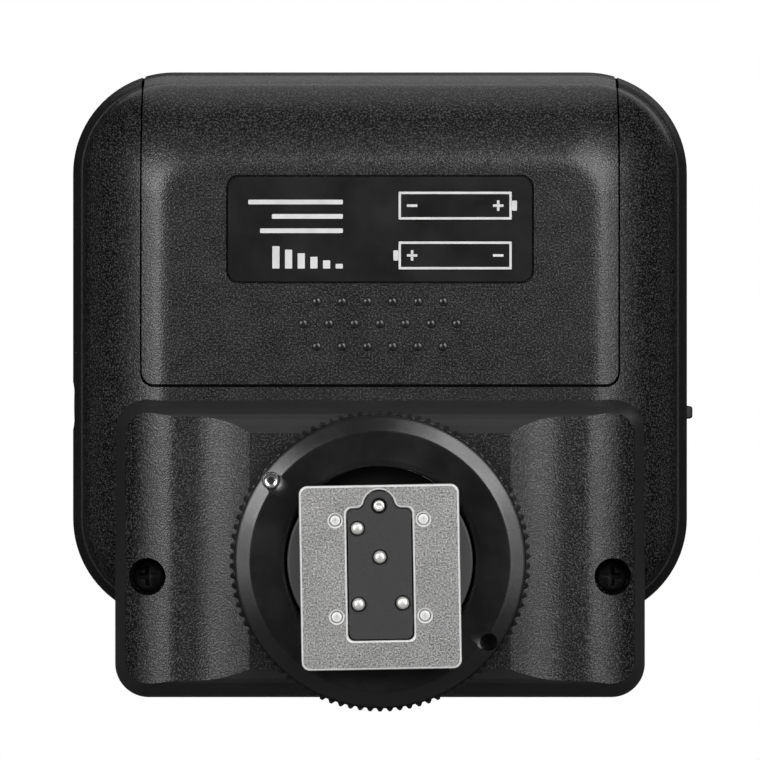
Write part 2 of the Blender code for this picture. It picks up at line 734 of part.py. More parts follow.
ALONG_X = Matrix.Rotation(math.radians(90), 4, "Y")
for k, (y, way) in enumerate(zip(CELL_Y, (1, -1)), 1):
    tip = 26.6
    profile = [
        (0, tip - NUB_LEN - CELL_LEN),
        (6.2, tip - NUB_LEN - CELL_LEN),
        (CELL_R, tip - NUB_LEN - CELL_LEN + 0.5),
        (CELL_R, tip - NUB_LEN - 0.6),
        (6.3, tip - NUB_LEN),
        (NUB_R, tip - NUB_LEN),
        (NUB_R, tip - 0.2),
        (NUB_R - 0.3, tip),
        (0, tip),
    ]
    cell = turned(profile, 24)
    spin = Matrix.Rotation(math.radians(90 * way), 4, "Y")
    add(f"battery_{k}", moved(cell, Matrix.Translation(Vector((0, y, CELL_Z)) * MM) @ spin), CELL, origin=(0, y, CELL_Z))
    coil = swept(helix(1.9, 3.6, 2.1, 2.5, 10), 0.3, 5)
    turn = Matrix.Rotation(math.radians(-90 * way), 4, "Y")
    # the coil's wide end stands on the contact plate behind the cell's flat end
    end = -way * (BAY_X - 0.65 - 0.6)
    flip = Matrix.Rotation(math.radians(90 * way), 4, "Y")
    wide_out = moved(coil, Matrix.Translation(Vector((end + way * 2.1, y, CELL_Z)) * MM) @ turn)
    add(f"battery_spring_{k}", wide_out, STEEL, origin=(end, y, CELL_Z))
add("battery_bridge", box(26.95, 27.3, CELL_Y[0] - 4.4, CELL_Y[1] + 4.4, CELL_Z - 4.2, CELL_Z + 4.2), STEEL)
add("battery_contact_1", box(-27.3, -26.95, CELL_Y[0] - 4.4, CELL_Y[0] + 4.4, CELL_Z - 4.2, CELL_Z + 4.2), STEEL)
add("battery_contact_2", box(-27.3, -26.95, CELL_Y[1] - 4.4, CELL_Y[1] + 4.4, CELL_Z - 4.2, CELL_Z + 4.2), STEEL)

# ---------------------------------------------------------------- electronics under the control face

BOARD_W0, BOARD_W1 = -6.1, -4.9
board = add_on_face("main_board", prism([(-32.6, 14.0), (-22.0, 14.0), (-22.0, 6.0), (22.0, 6.0), (22.0, 14.0), (32.6, 14.0), (32.6, 58.0), (26.0, 63.5), (-26.0, 63.5), (-32.6, 58.0)], BOARD_W0, BOARD_W1), BOARD)
board_holes = []
for side in (-1, 1):
    x, y = side * CASE_SCREW_X, CASE_SCREW_Y
    board_holes.append(rod(3.0, 20, 50, 16, x, y))
cut(board, together(*board_holes))
# tact switches under the keys
switches = []
for u, v in [(u, KEY_V) for u in KEY_U] + list(SIDE_KEYS.values()) + [TEST_UV]:
    if abs(u) < 26:
        switches.append(turned([(0, BOARD_W1 - 0.4), (1.9, BOARD_W1 - 0.4), (1.9, BOARD_W1 + 0.7), (0.8, BOARD_W1 + 0.7), (0.8, BOARD_W1 + 1.0), (0, BOARD_W1 + 1.0)], 8, u, v))
switches.append(rect_at(TEST_UV[0], 15.8, 4.0, 3.0, 0.3, BOARD_W1 - 0.4, BOARD_W1 + 0.7, 1))
# radio module and controller on the underside
switches.append(rect_at(12, 57.8, 14, 8, 0.4, BOARD_W0 - 1.6, BOARD_W0 + 0.4, 1))
switches.append(rect_at(-10, 57.8, 8, 7, 0.4, BOARD_W0 - 1.2, BOARD_W0 + 0.4, 1))
fuse(board, together(*switches), 0, 0)

add_on_face("display_window", rect_at(0, 0, WINDOW[2], WINDOW[3], 1.2, -1.0, -0.1, 4), GLASS, WINDOW[0], WINDOW[1])
add_on_face("lcd_panel", rect_at(0, 0, 43.5, 25.5, 0.4, -2.9, -1.6, 1), PANEL, WINDOW[0], WINDOW[1])
add_on_face("backlight_panel", rect_at(0, 0, 42.5, 24.5, 0.4, -4.6, -3.2, 1), LABEL, WINDOW[0], WINDOW[1])


def key(name, u, v, w, h, mat=KEYS):
    """Cap through the cover with a flange behind it and a stem over its switch."""
    made = add_on_face(name, loft([level(rrect(-w / 2, w / 2, -h / 2, h / 2, 1.0, 3), z) for z in (-3.0, 0.45)] + [level(rrect(-w / 2 + 0.3, w / 2 - 0.3, -h / 2 + 0.3, h / 2 - 0.3, 0.8, 3), 0.8)]), mat, u, v)
    fuse(made, rect_at(0, 0, w + 1.4, min(h + 1.4, 6.0), 1.2, -3.1, -2.35, 1), u, v)
    return made


for k, u in enumerate(KEY_U, 1):
    key(f"function_key_{k}", u, KEY_V, KEY_W, KEY_H)
for name, (u, v) in SIDE_KEYS.items():
    key(name, u, v, 7.0, 4.2)
test = add_on_face("test_button", turned([(0, -3.0), (TEST_R + 0.8, -3.0), (TEST_R + 0.8, -2.35), (TEST_R, -2.35), (TEST_R, 0.5), (TEST_R - 0.4, 0.85), (0, 0.95)], 24), KEYS, *TEST_UV)
add_on_face("status_lamp", turned([(0, -2.6), (LAMP_R + 0.7, -2.6), (LAMP_R + 0.7, -2.2), (LAMP_R, -2.2), (LAMP_R, 0.1), (LAMP_R * 0.6, 0.35), (0, 0.42)], 14), LAMP, *LAMP_UV)


def dial_profile():
    n = 22
    rows = [(4.2, -3.9), (5.9, -3.9), (5.9, -0.55), (DIAL_R - 0.2, -0.55)]
    bm = bmesh.new()
    rings = [[bm.verts.new(Vector((x, y, z)) * MM) for x, y in circle(r, 2 * n)] for r, z in rows]

    def teeth(z):
        return [
            bm.verts.new(Vector((r * math.cos(math.pi * i / n), r * math.sin(math.pi * i / n), z)) * MM)
            for i, r in ((i, DIAL_R if i % 2 else DIAL_R - 0.35) for i in range(2 * n))
        ]

    rings.append(teeth(-0.3))
    rings.append(teeth(0.9))
    rings += [[bm.verts.new(Vector((x, y, z)) * MM) for x, y in circle(r, 2 * n)] for r, z in ((DIAL_R - 0.9, 1.5), (4.9, 1.5), (4.2, 1.1))]
    for low, high in list(zip(rings, rings[1:])) + [(rings[-1], rings[0])]:
        for i in range(2 * n):
            j = (i + 1) % (2 * n)
            bm.faces.new((low[i], low[j], high[j], high[i]))
    return outward(bm)


add_on_face("select_dial", dial_profile(), KEYS, 0, DIAL_V)
add_on_face("set_button", turned([(0, -3.6), (3.85, -3.6), (3.85, 0.9), (3.4, 1.3), (0, 1.4)], 24), KEYS, 0, DIAL_V)
encoder = add_on_face("dial_encoder", rect_at(0, 0, 13.0, 11.4, 0.6, -4.6, -4.25, 2), LABEL, 0, DIAL_V)

# antenna: a helical wire on the front part of the board
antenna_path = [
    (-7.0 + 14.0 * i / 48, 0.75 * math.sin(2 * math.pi * i / 8), BOARD_W1 + 1.35 - 0.75 * math.cos(2 * math.pi * i / 8)) for i in range(49)
]
add_on_face("antenna", swept(antenna_path, 0.2, 4), BRASS, 0, 61.6)

# ---------------------------------------------------------------- side controls and sockets

cap = add(
    "power_switch_cap",
    loft(
        [
            [(x, SWITCH_Y + s * w, SWITCH_Z + t * h) for s, t in ((-1, -1), (1, -1), (1, 1), (-1, 1))]
            for x, w, h in ((-34.2, 0.8, 2.2), (-37.1, 0.8, 2.2), (-37.75, 0.55, 1.8))
        ]
    ),
    KEYS,
    origin=(-HEAD_X, SWITCH_Y, SWITCH_Z),
)
fuse(cap, box(-34.8, -34.0, SWITCH_Y - 3.6, SWITCH_Y + 3.6, SWITCH_Z - 3.1, SWITCH_Z + 2.9))
fuse(cap, box(-34.4, -32.9, SWITCH_Y - 0.7, SWITCH_Y + 0.7, SWITCH_Z - 2.6, SWITCH_Z - 1.2))
body = add("power_switch_body", box(-33.6, -30.6, SWITCH_Y - 3.2, SWITCH_Y + 6.0, SWITCH_Z - 4.4, SWITCH_Z + 0.2), STEEL)
cut(body, box(-35, -32.2, SWITCH_Y - 1.3, SWITCH_Y + SWITCH_TRAVEL + 1.3, SWITCH_Z - 3.1, SWITCH_Z - 0.7))

usb = add("usb_port", moved(loft([level(rrect(-1.6, 1.6, -4.5, 4.5, 1.3, 4), z) for z in (30.6, 36.7)]), Matrix.Translation(Vector((0, USB_Y, USB_Z)) * MM) @ ALONG_X), STEEL)
cut(usb, moved(prism(rrect(-1.3, 1.3, -4.2, 4.2, 1.1, 4), 31.2, 40), Matrix.Translation(Vector((0, USB_Y, USB_Z)) * MM) @ ALONG_X))
fuse(usb, box(30.9, 36.0, USB_Y - 3.4, USB_Y + 3.4, USB_Z - 0.35, USB_Z + 0.35))
sync = add("sync_jack", box(30.6, 34.4, SYNC_Y - 3.6, SYNC_Y + 3.6, SYNC_Z - 2.8, SYNC_Z + 2.5), LABEL)
fuse(sync, moved(rod(2.65, 34.0, 36.8, 24), Matrix.Translation(Vector((0, SYNC_Y, SYNC_Z)) * MM) @ ALONG_X))
cut(sync, moved(rod(1.3, 31.4, 40, 16), Matrix.Translation(Vector((0, SYNC_Y, SYNC_Z)) * MM) @ ALONG_X))
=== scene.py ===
"""Looks of the wireless flash trigger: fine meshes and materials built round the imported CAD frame.

Lengths below are millimetres in the CAD's own frame, turned into metres when a mesh is made.
"""

import math

import bmesh
import bpy
from mathutils import Matrix, Vector


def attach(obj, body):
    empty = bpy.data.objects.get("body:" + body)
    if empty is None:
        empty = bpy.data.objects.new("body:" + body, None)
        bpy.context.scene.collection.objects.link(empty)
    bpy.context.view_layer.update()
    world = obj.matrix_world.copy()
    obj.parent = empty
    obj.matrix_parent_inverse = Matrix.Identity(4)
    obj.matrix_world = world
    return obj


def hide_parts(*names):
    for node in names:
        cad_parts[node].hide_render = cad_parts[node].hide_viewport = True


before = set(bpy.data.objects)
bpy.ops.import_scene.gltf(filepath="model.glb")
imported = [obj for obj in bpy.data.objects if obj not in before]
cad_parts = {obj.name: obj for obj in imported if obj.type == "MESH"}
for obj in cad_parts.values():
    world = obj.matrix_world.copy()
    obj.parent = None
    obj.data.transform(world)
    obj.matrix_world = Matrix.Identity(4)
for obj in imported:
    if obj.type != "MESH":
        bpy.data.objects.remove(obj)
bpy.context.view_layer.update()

MM = 0.001
scene = bpy.context.scene
scene.view_settings.view_transform = "Standard"
scene.view_settings.look = "None"

# ---------------------------------------------------------------- dimensions shared with the CAD

HEAD_X, HEAD_Y0, HEAD_Y1, HEAD_R = 37.05, -7.8, 58.2, 12.2
PART_Z, PART_IN, WIDE_Z = 25.5, 1.5, 31.0
FLAT_Z, FLAT_IN, FLAT_R, WALL = 17.6, 11.35, 4.2, 1.9
FACE_Z0, TILT = 36.0, math.radians(13.63)
DOOR_X, DOOR_Y0, DOOR_Z1, DOOR_WALL = 28.25, 20.6, 33.0, 1.7
LABEL_X, LABEL_Y0, LABEL_Y1 = 18.04, 32.7, 45.2
BLOCK_Z, BLOCK_Y0, BLOCK_Y1 = 10.6, -12.8, 14.9
CREASE_X, GROOVE_X = 15.3, 22.8
FOOT_SCREW_X, FOOT_SCREW_Y = 27.4, -2.05
CASE_SCREW_X, CASE_SCREW_Y = 24.5, 13.5
RING_Z0, RING_Z1, RING_TIP, RING_VALLEY, RING_TEETH = 5.0, 10.0, 17.56, 17.18, 94
RING_BORE, RING_THREAD, PLATE_R, POST_R, POST_FLAT = 11.07, 8.6, 10.8, 8.2, 6.1
SHOE_X, SHOE_Y0, SHOE_Y1, SHOE_T = 9.3, -12.4, 9.0, 2.0
PINS = ((0.0, 0.65), (2.54, 4.0), (2.54, -4.77), (-2.54, -4.7))
LOCK_PIN_Y = 6.55
PLATE_SCREWS = ((5.1, 4.95), (-5.1, 4.95), (5.1, -6.2), (-5.1, -6.2))
FACE = Matrix.Translation(Vector((0, HEAD_Y0, FACE_Z0)) * MM) @ Matrix.Rotation(TILT, 4, "X")

# ---------------------------------------------------------------- materials


class Nodes:
    """A material's node tree with a few shorthands."""

    def __init__(self, name):
        self.material = bpy.data.materials.new(name)
        self.material.use_nodes = True
        self.tree = self.material.node_tree
        self.shader = self.tree.nodes["Principled BSDF"]
        self.place = None

    def node(self, kind, **settings):
        made = self.tree.nodes.new(kind)
        for key, value in settings.items():
            if key.startswith("in_"):
                made.inputs[key[3:].replace("_", " ")].default_value = value
            else:
                setattr(made, key, value)
        return made

    def link(self, a, b):
        self.tree.links.new(a, b)

    def where(self):
        if self.place is None:
            self.place = self.node("ShaderNodeTexCoord").outputs["Object"]
        return self.place

    def noise(self, scale, detail=2.0, rough=0.5, stretch=None):
        made = self.node("ShaderNodeTexNoise", in_Scale=scale, in_Detail=detail, in_Roughness=rough)
        spot = self.where()
        if stretch is not None:
            mapping = self.node("ShaderNodeMapping")
            mapping.inputs["Scale"].default_value = stretch
            self.link(spot, mapping.inputs["Vector"])
            spot = mapping.outputs["Vector"]
        self.link(spot, made.inputs["Vector"])
        return made.outputs["Fac"]

    def ramp(self, value, stops):
        made = self.node("ShaderNodeValToRGB")
        ramp = made.color_ramp
        while len(ramp.elements) < len(stops):
            ramp.elements.new(0.5)
        for element, (at, colour) in zip(ramp.elements, stops):
            element.position = at
            element.color = (*colour, 1.0) if len(colour) == 3 else colour
        self.link(value, made.inputs["Fac"])
        return made.outputs["Color"]

    def spread(self, value, low, high, start=0.3, end=0.7):
        made = self.node("ShaderNodeMapRange")
        made.inputs["From Min"].default_value = start
        made.inputs["From Max"].default_value = end
        made.inputs["To Min"].default_value = low
        made.inputs["To Max"].default_value = high
        self.link(value, made.inputs["Value"])
        return made.outputs["Result"]

    def bump(self, height, distance, strength=1.0, after=None):
        made = self.node("ShaderNodeBump", in_Strength=strength, in_Distance=distance)
        self.link(height, made.inputs["Height"])
        if after is not None:
            self.link(after, made.inputs["Normal"])
        return made.outputs["Normal"]

    def set(self, **values):
        for key, value in values.items():
            self.shader.inputs[key.replace("_", " ")].default_value = value
        return self


def grey(v, warm=0.0):
    return (v * (1 + warm), v, v * (1 - warm))


def grained(name, dark, light, rough, grain=5200.0, depth=0.00003, specular=0.5, blotch=0.06, low=0.36, high=0.66):
    """Spark-eroded plastic: fine grain in bump and colour, and faint cloudiness."""
    n = Nodes(name)
    fine = n.noise(grain, 1.0, 0.5)
    wide = n.noise(420.0, 2.0, 0.5)
    n.link(n.ramp(fine, ((low, grey(dark)), (high, grey(light)))), n.shader.inputs["Base Color"])
    n.link(n.spread(wide, rough - blotch / 2, rough + blotch / 2), n.shader.inputs["Roughness"])
    n.link(n.bump(fine, depth), n.shader.inputs["Normal"])
    n.set(Specular_IOR_Level=specular)
    return n.material


def satin(name, value, rough, specular=0.5, grain=9000.0, depth=0.000004, warm=0.0):
    """Smooth moulded plastic, with a very fine surface and faint handling marks in its gloss."""
    n = Nodes(name)
    fine = n.noise(grain, 2.0, 0.6)
    wide = n.noise(160.0, 3.0, 0.6)
    n.link(
        n.ramp(fine, ((0.3, grey(value * 0.86, warm)), (0.7, grey(value * 1.14, warm)))), n.shader.inputs["Base Color"]
    )
    n.link(n.spread(wide, rough - 0.05, rough + 0.07), n.shader.inputs["Roughness"])
    n.link(n.bump(fine, depth), n.shader.inputs["Normal"])
    n.set(Specular_IOR_Level=specular)
    return n.material


def blasted_metal(name, low, high, rough, grain=4200.0, depth=0.00003):
    """Bead-blasted plate: metal with a fine random dimple."""
    n = Nodes(name)
    fine = n.noise(grain, 3.0, 0.65)
    wide = n.noise(260.0, 2.0, 0.5)
    n.link(n.ramp(fine, ((0.3, grey(low, 0.01)), (0.72, grey(high, 0.01)))), n.shader.inputs["Base Color"])
    n.link(n.spread(wide, rough - 0.05, rough + 0.05), n.shader.inputs["Roughness"])
    n.link(n.bump(fine, depth), n.shader.inputs["Normal"])
    n.set(Metallic=1.0)
    return n.material


def polished(name, colour, rough, marks=0.04, metal=1.0):
    """Turned or plated metal with faint wear."""
    n = Nodes(name)
    wide = n.noise(900.0, 3.0, 0.6)
    tint = tuple(min(1.0, c * 1.05) for c in colour)
    n.link(n.ramp(wide, ((0.25, tuple(c * 0.9 for c in colour)), (0.7, tint))), n.shader.inputs["Base Color"])
    n.link(n.spread(wide, rough - marks, rough + marks), n.shader.inputs["Roughness"])
    n.set(Metallic=metal)
    return n.material


def tinted(name, colour, rough, specular=0.5, coat=0.0, scale=600.0, vary=0.08):
    """Coloured smooth material with slight variation."""
    n = Nodes(name)
    wide = n.noise(scale, 2.0, 0.5)
    n.link(
        n.ramp(wide, ((0.3, tuple(c * (1 - vary) for c in colour)), (0.7, tuple(c * (1 + vary) for c in colour)))),
        n.shader.inputs["Base Color"],
    )
    n.link(n.spread(wide, rough * 0.9, rough * 1.1), n.shader.inputs["Roughness"])
    n.set(Specular_IOR_Level=specular, Coat_Weight=coat, Coat_Roughness=0.08)
    return n.material


GRAIN = grained("abs_grain", 0.0004, 0.095, 0.30, grain=5000.0, depth=0.00003, low=0.46, high=0.80)
# finer grain for the front cover, and darker than the rear cover's plastic: the darkness is painted shade for the
# cover's steep rim
GRAIN_FINE_PAINTED_SHADE = grained("abs_grain_fine_painted_shade", 0.003, 0.021, 0.42, grain=6500.0, depth=0.00002, specular=0.4)
SMOOTH = satin("abs_smooth", 0.034, 0.40, specular=0.4)
INSIDE = satin("abs_inside", 0.016, 0.55, specular=0.3)
RINGMAT = satin("ring_satin", 0.006, 0.25, specular=0.5)
BLACKENED = satin("blackened_steel", 0.003, 0.45, specular=0.2)
# near-black material for the lock ring's inner step and thread bore: painted shade inside the bore
RING_BORE_PAINTED_SHADE = satin("ring_bore_painted_shade", 0.0015, 0.6, specular=0.1)
DOT = satin("grip_dot", 0.012, 0.22, specular=0.5)
CLAMP = satin("clamp_plastic", 0.085, 0.42)
PLATE = blasted_metal("blasted_plate", 0.10, 0.66, 0.40, grain=4800.0, depth=0.00004)
# near-white and barely metallic: painted highlight on the foot plate's chamfered and cut edges and on the plate screws
PAINTED_HIGHLIGHT_WHITE = polished("painted_highlight_white", (0.93, 0.93, 0.92), 0.4, metal=0.05)
NICKEL = polished("nickel", (0.78, 0.78, 0.77), 0.2)
PIN = polished("contact_tip", (0.90, 0.89, 0.86), 0.36, metal=0.6)
DARK_STEEL = polished("dark_steel", (0.42, 0.42, 0.42), 0.24)
WIRE = polished("spring_wire", (0.55, 0.55, 0.55), 0.25)
STRIP = polished("contact_strip", (0.66, 0.65, 0.62), 0.3)
GOLD = polished("gold", (0.82, 0.62, 0.28), 0.22)
INSERT = satin("insert_plastic", 0.042, 0.5, specular=0.4, grain=5000.0, depth=0.00001)
LABEL = satin("label_film", 0.007, 0.30, specular=0.35)
PRINT = tinted("label_print", (0.80, 0.80, 0.80), 0.5)
PRINT_DIM = tinted("key_print", (0.42, 0.42, 0.42), 0.5)
KEY = satin("key_coat", 0.030, 0.52, specular=0.4, grain=6000.0, depth=0.00001)
DIALMAT = satin("dial_coat", 0.020, 0.42, specular=0.5)
BOARD = tinted("board_mask", (0.015, 0.085, 0.035), 0.35, coat=0.3)
LCD = tinted("lcd_face", (0.23, 0.27, 0.24), 0.3, scale=60.0, vary=0.03)
LAMP = tinted("lamp_lens", (0.45, 0.03, 0.02), 0.12, coat=0.6)
WRAP = tinted("cell_wrap", (0.035, 0.10, 0.26), 0.3, coat=0.4)
WRAP_BAND = tinted("cell_band", (0.62, 0.63, 0.64), 0.35, coat=0.3)


def window_glass():
    n = Nodes("window_glass")
    n.set(Roughness=0.04, Specular_IOR_Level=0.5, Alpha=0.32)
    wide = n.noise(90.0, 2.0, 0.5)
    n.link(n.ramp(wide, ((0.3, (0.010, 0.011, 0.012)), (0.7, (0.014, 0.015, 0.016)))), n.shader.inputs["Base Color"])
    n.material.surface_render_method = "BLENDED"
    return n.material


GLASS = window_glass()

# ---------------------------------------------------------------- mesh building


def rrect(x0, x1, y0, y1, r, seg=10):
    points = []
    for cx, cy, start in ((x1 - r, y1 - r, 0), (x0 + r, y1 - r, 90), (x0 + r, y0 + r, 180), (x1 - r, y0 + r, 270)):
        for i in range(seg + 1):
            a = math.radians(start + 90 * i / seg)
            points.append((cx + r * math.cos(a), cy + r * math.sin(a)))
    return points


def circle(r, n, cx=0.0, cy=0.0):
    return [(cx + r * math.cos(2 * math.pi * i / n), cy + r * math.sin(2 * math.pi * i / n)) for i in range(n)]


def level(outline, z):
    return [(x, y, z) for x, y in outline]


def outward(bm):
    bmesh.ops.recalc_face_normals(bm, faces=bm.faces[:])
    if bm.calc_volume(signed=True) < 0:
        bmesh.ops.reverse_faces(bm, faces=bm.faces[:])
    return bm


def loft(rings, cap_material=0, side_material=0, around=False):
    bm = bmesh.new()
    rows = [[bm.verts.new(Vector(p) * MM) for p in ring] for ring in rings]
    pairs = list(zip(rows, rows[1:])) + ([(rows[-1], rows[0])] if around else [])
    for low, high in pairs:
        for i in range(len(low)):
            j = (i + 1) % len(low)
            bm.faces.new((low[i], low[j], high[j], high[i])).material_index = side_material
    if not around:
        bm.faces.new(rows[0][::-1]).material_index = cap_material
        bm.faces.new(rows[-1]).material_index = cap_material
    return outward(bm)


def prism(outline, z0, z1):
    return loft([level(outline, z0), level(outline, z1)])


def box(x0, x1, y0, y1, z0, z1):
    return prism([(x0, y0), (x1, y0), (x1, y1), (x0, y1)], z0, z1)


def turned(profile, n, cx=0.0, cy=0.0):
    bm = bmesh.new()
    rows = []
    for r, z in profile:
        if r == 0:
            rows.append([bm.verts.new(Vector((cx, cy, z)) * MM)])
        else:
            rows.append([bm.verts.new(Vector((x, y, z)) * MM) for x, y in circle(r, n, cx, cy)])
    pairs = list(zip(rows, rows[1:]))
    if profile[0][0] != 0:
        pairs.append((rows[-1], rows[0]))
    for low, high in pairs:
        for i in range(n):
            j = (i + 1) % n
            if len(low) == 1:
                bm.faces.new((low[0], high[j], high[i]))
            elif len(high) == 1:
                bm.faces.new((low[i], low[j], high[0]))
            else:
                bm.faces.new((low[i], low[j], high[j], high[i]))
    return outward(bm)


def rod(r, z0, z1, n=48, cx=0.0, cy=0.0):
    return turned([(0, z0), (r, z0), (r, z1), (0, z1)], n, cx, cy)


def swept(points, r, sides=10):
    bm = bmesh.new()
    rows = []
    path = [Vector(p) for p in points]
    normal = None
    for i, p in enumerate(path):
        along = (path[min(i + 1, len(path) - 1)] - path[max(i - 1, 0)]).normalized()
        if normal is None:
            normal = along.orthogonal().normalized()
        normal = (normal - along * normal.dot(along)).normalized()
        side = along.cross(normal)
        rows.append(
            [
                bm.verts.new(
                    (p + r * (math.cos(2 * math.pi * k / sides) * normal + math.sin(2 * math.pi * k / sides) * side))
                    * MM
                )
                for k in range(sides)
            ]
        )
    for low, high in zip(rows, rows[1:]):
        for i in range(sides):
            j = (i + 1) % sides
            bm.faces.new((low[i], low[j], high[j], high[i]))
    bm.faces.new(rows[0][::-1])
    bm.faces.new(rows[-1])
    return outward(bm)


def helix(r0, r1, length, turns, steps=24):
    count = int(turns * steps)
    return [
        (
            (r0 + (r1 - r0) * i / count) * math.cos(2 * math.pi * i / steps),
            (r0 + (r1 - r0) * i / count) * math.sin(2 * math.pi * i / steps),
            length * i / count,
        )
        for i in range(count + 1)
    ]


def together(*shapes):
    bm = bmesh.new()
    for shape in shapes:
        mesh = bpy.data.meshes.new("piece")
        shape.to_mesh(mesh)
        bm.from_mesh(mesh)
        bpy.data.meshes.remove(mesh)
        shape.free()
    return bm


def moved(bm, matrix):
    bmesh.ops.transform(bm, matrix=matrix, verts=bm.verts[:])
    return bm


def at(x, y, z):
    return Matrix.Translation(Vector((x, y, z)) * MM)


def on_face(u, v, w=0.0):
    return FACE @ at(u, v, w)


def build(name, bm, mats, cuts=(), joins=(), keeps=(), bevel=0.0, angle=35.0, segments=3, edge_material=-1, smooth=35.0):
    """An object from a mesh, with Booleans applied, then bevelled edges that catch the light."""
    mats = mats if isinstance(mats, (list, tuple)) else [mats]
    mesh = bpy.data.meshes.new(name)
    bm.to_mesh(mesh)
    bm.free()
    for m in mats:
        mesh.materials.append(m)
    made = bpy.data.objects.new(name, mesh)
    scene.collection.objects.link(made)
    helpers = []
    for operation, shapes in (("UNION", joins), ("INTERSECT", keeps), ("DIFFERENCE", cuts)):
        for shape in shapes:
            helper_mesh = bpy.data.meshes.new(name + "_tool")
            shape.to_mesh(helper_mesh)
            shape.free()
            for m in mats:
                helper_mesh.materials.append(m)
            helper = bpy.data.objects.new(name + "_tool", helper_mesh)
            scene.collection.objects.link(helper)
            helpers.append(helper)
            step = made.modifiers.new(operation, "BOOLEAN")
            step.operation = operation
            step.solver = "EXACT"
            step.object = helper
    if helpers:
        bpy.context.view_layer.update()
        graph = bpy.context.evaluated_depsgraph_get()
        done = bpy.data.meshes.new_from_object(made.evaluated_get(graph))
        made.modifiers.clear()
        old = made.data
        made.data = done
        bpy.data.meshes.remove(old)
        done.name = name
        for helper in helpers:
            data = helper.data
            bpy.data.objects.remove(helper, do_unlink=True)
            bpy.data.meshes.remove(data)
        clean = bmesh.new()
        clean.from_mesh(made.data)
        bmesh.ops.remove_doubles(clean, verts=clean.verts[:], dist=2e-6)
        bmesh.ops.dissolve_degenerate(clean, edges=clean.edges[:], dist=2e-6)
        clean.to_mesh(made.data)
        clean.free()
    if bevel:
        step = made.modifiers.new("edges", "BEVEL")
        step.width = bevel * MM
        step.segments = segments
        step.limit_method = "ANGLE"
        step.angle_limit = math.radians(angle)
        step.harden_normals = False
        step.use_clamp_overlap = True
        step.material = edge_material
        step.miter_outer = "MITER_ARC"
    made.data.shade_smooth()
    made.data.set_sharp_from_angle(angle=math.radians(smooth))
    if bevel:
        weighted = made.modifiers.new("normals", "WEIGHTED_NORMAL")
        weighted.keep_sharp = True
        weighted.weight = 60
    return made


def stands_for(obj, body, slot, *nodes):
    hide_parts(*nodes)
    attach(obj, body)
    return obj


def extra(obj, body):
    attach(obj, body)
    return obj


# ---------------------------------------------------------------- shape of the head


def slope(t):
    return 0.25 * t + 0.75 * (1 - math.sqrt(max(0.0, 1 - t * t)))


def underside(t, inward):
    run, rise = FLAT_IN - PART_IN, PART_Z - FLAT_Z
    inset, z = FLAT_IN - run * t, FLAT_Z + rise * slope(t)
    if t >= 1:
        return inset + inward, z
    steep = rise / run * (0.25 + 0.75 * t / math.sqrt(1 - t * t)) if t else 0.0
    angle = math.atan(steep)
    return inset + inward * math.sin(angle), z + inward * math.cos(angle)


SEG = 22


def head_ring(inset, z, t=1.0, seg=SEG):
    r = max(HEAD_R - inset, 0.4) + (FLAT_R - (HEAD_R - FLAT_IN)) * (1 - t)
    return level(rrect(-HEAD_X + inset, HEAD_X - inset, HEAD_Y0 + inset, HEAD_Y1 - inset, max(r, 0.6), seg), z)


T_STEPS = [math.sin(math.pi / 2 * i / 22) for i in range(23)]
T_STEPS = [0.0, 0.012] + T_STEPS[1:]


EASE = 1.0


def eased(u):
    """How far the flat's edge is rounded off, u mm outside it."""
    return 0.192 * max(0.0, EASE - abs(u)) ** 2 / (4 * EASE)


def head_outer(inward=0.0, above=(), lip=0.0):
    """Rings of the underside, with its first step eased into the flat."""
    rings = []
    if inward <= 0:
        for u in (-EASE, -0.67 * EASE, -0.33 * EASE):
            rings.append(head_ring(FLAT_IN - u, FLAT_Z + inward + eased(u), 0.0))
        for u in (0.0, 0.33 * EASE, 0.67 * EASE, EASE):
            inset, z = underside(u / (FLAT_IN - PART_IN), inward)
            rings.append(head_ring(inset, z + eased(u), u / (FLAT_IN - PART_IN)))
    for t in T_STEPS:
        if inward <= 0 and t < 0.13 or inward > 0 and 0 < t < 0.05:
            continue
        inset, z = underside(t, inward)
        rings.append(head_ring(inset, z, t))
    for inset, z in above:
        rings.append(head_ring(inset + inward, z))
    return rings


def face_height(y):
    return FACE_Z0 + (y - HEAD_Y0) * math.tan(TILT)


def front_rings(inward):
    lower = [(PART_IN + 0.12, PART_Z + 0.3), (PART_IN - 0.2, PART_Z + 0.3), (0.78, PART_Z + 0.95)] if inward == 0 else [(PART_IN - 0.05, PART_Z + 0.3)]
    lower += [(0.7, 27.0), (0.45, 28.4), (0.2, 29.8), (0.03, 31.0)]
    rings = [head_ring(inset + inward, z) for inset, z in lower]
    for k in range(9):
        a = math.pi / 2 * k / 8
        inset, drop = 3.0 * (1 - math.cos(a)), 3.0 * (1 - math.sin(a))
        flat = head_ring(inset + inward, 0.0)
        rings.append([(x, y, face_height(y) - drop - max(0.09, inward / math.cos(TILT))) for x, y, _ in flat])
    return rings


def door_prism(grow=0.0, y0=DOOR_Y0):
    side = 0.6 * grow
    return prism(rrect(-DOOR_X - side, DOOR_X + side, y0 - grow, 70, 1.5 + grow * 0.6, 8), 8, 45)


# ---------------------------------------------------------------- rear cover

rear = build(
    "rear_cover_fine",
    loft(head_outer(0.0) + head_outer(WALL)[::-1]),
    GRAIN,
    cuts=[
        door_prism(0.34),
    ],
    bevel=0.16,
    angle=32,
)
# bay for the cells, moulded into the cover
bay = build(
    "battery_bay",
    box(-30.15, 30.15, 19.3, 48.4, 19.75, 35.2),
    INSIDE,
    joins=[box(-30.05, 30.05, 47.0, 52.55, 22.1, 35.1)],
    cuts=[
        box(-27.6, 27.6, 21.4, 51.4, 15, 34.3),
        box(-DOOR_X - 0.3, DOOR_X + 0.3, DOOR_Y0 - 0.3, 70, 12, 20.7),
        box(-DOOR_X - 0.3, DOOR_X + 0.3, 46.5, 70, 12, 22.3),
    ],
    bevel=0.25,
)
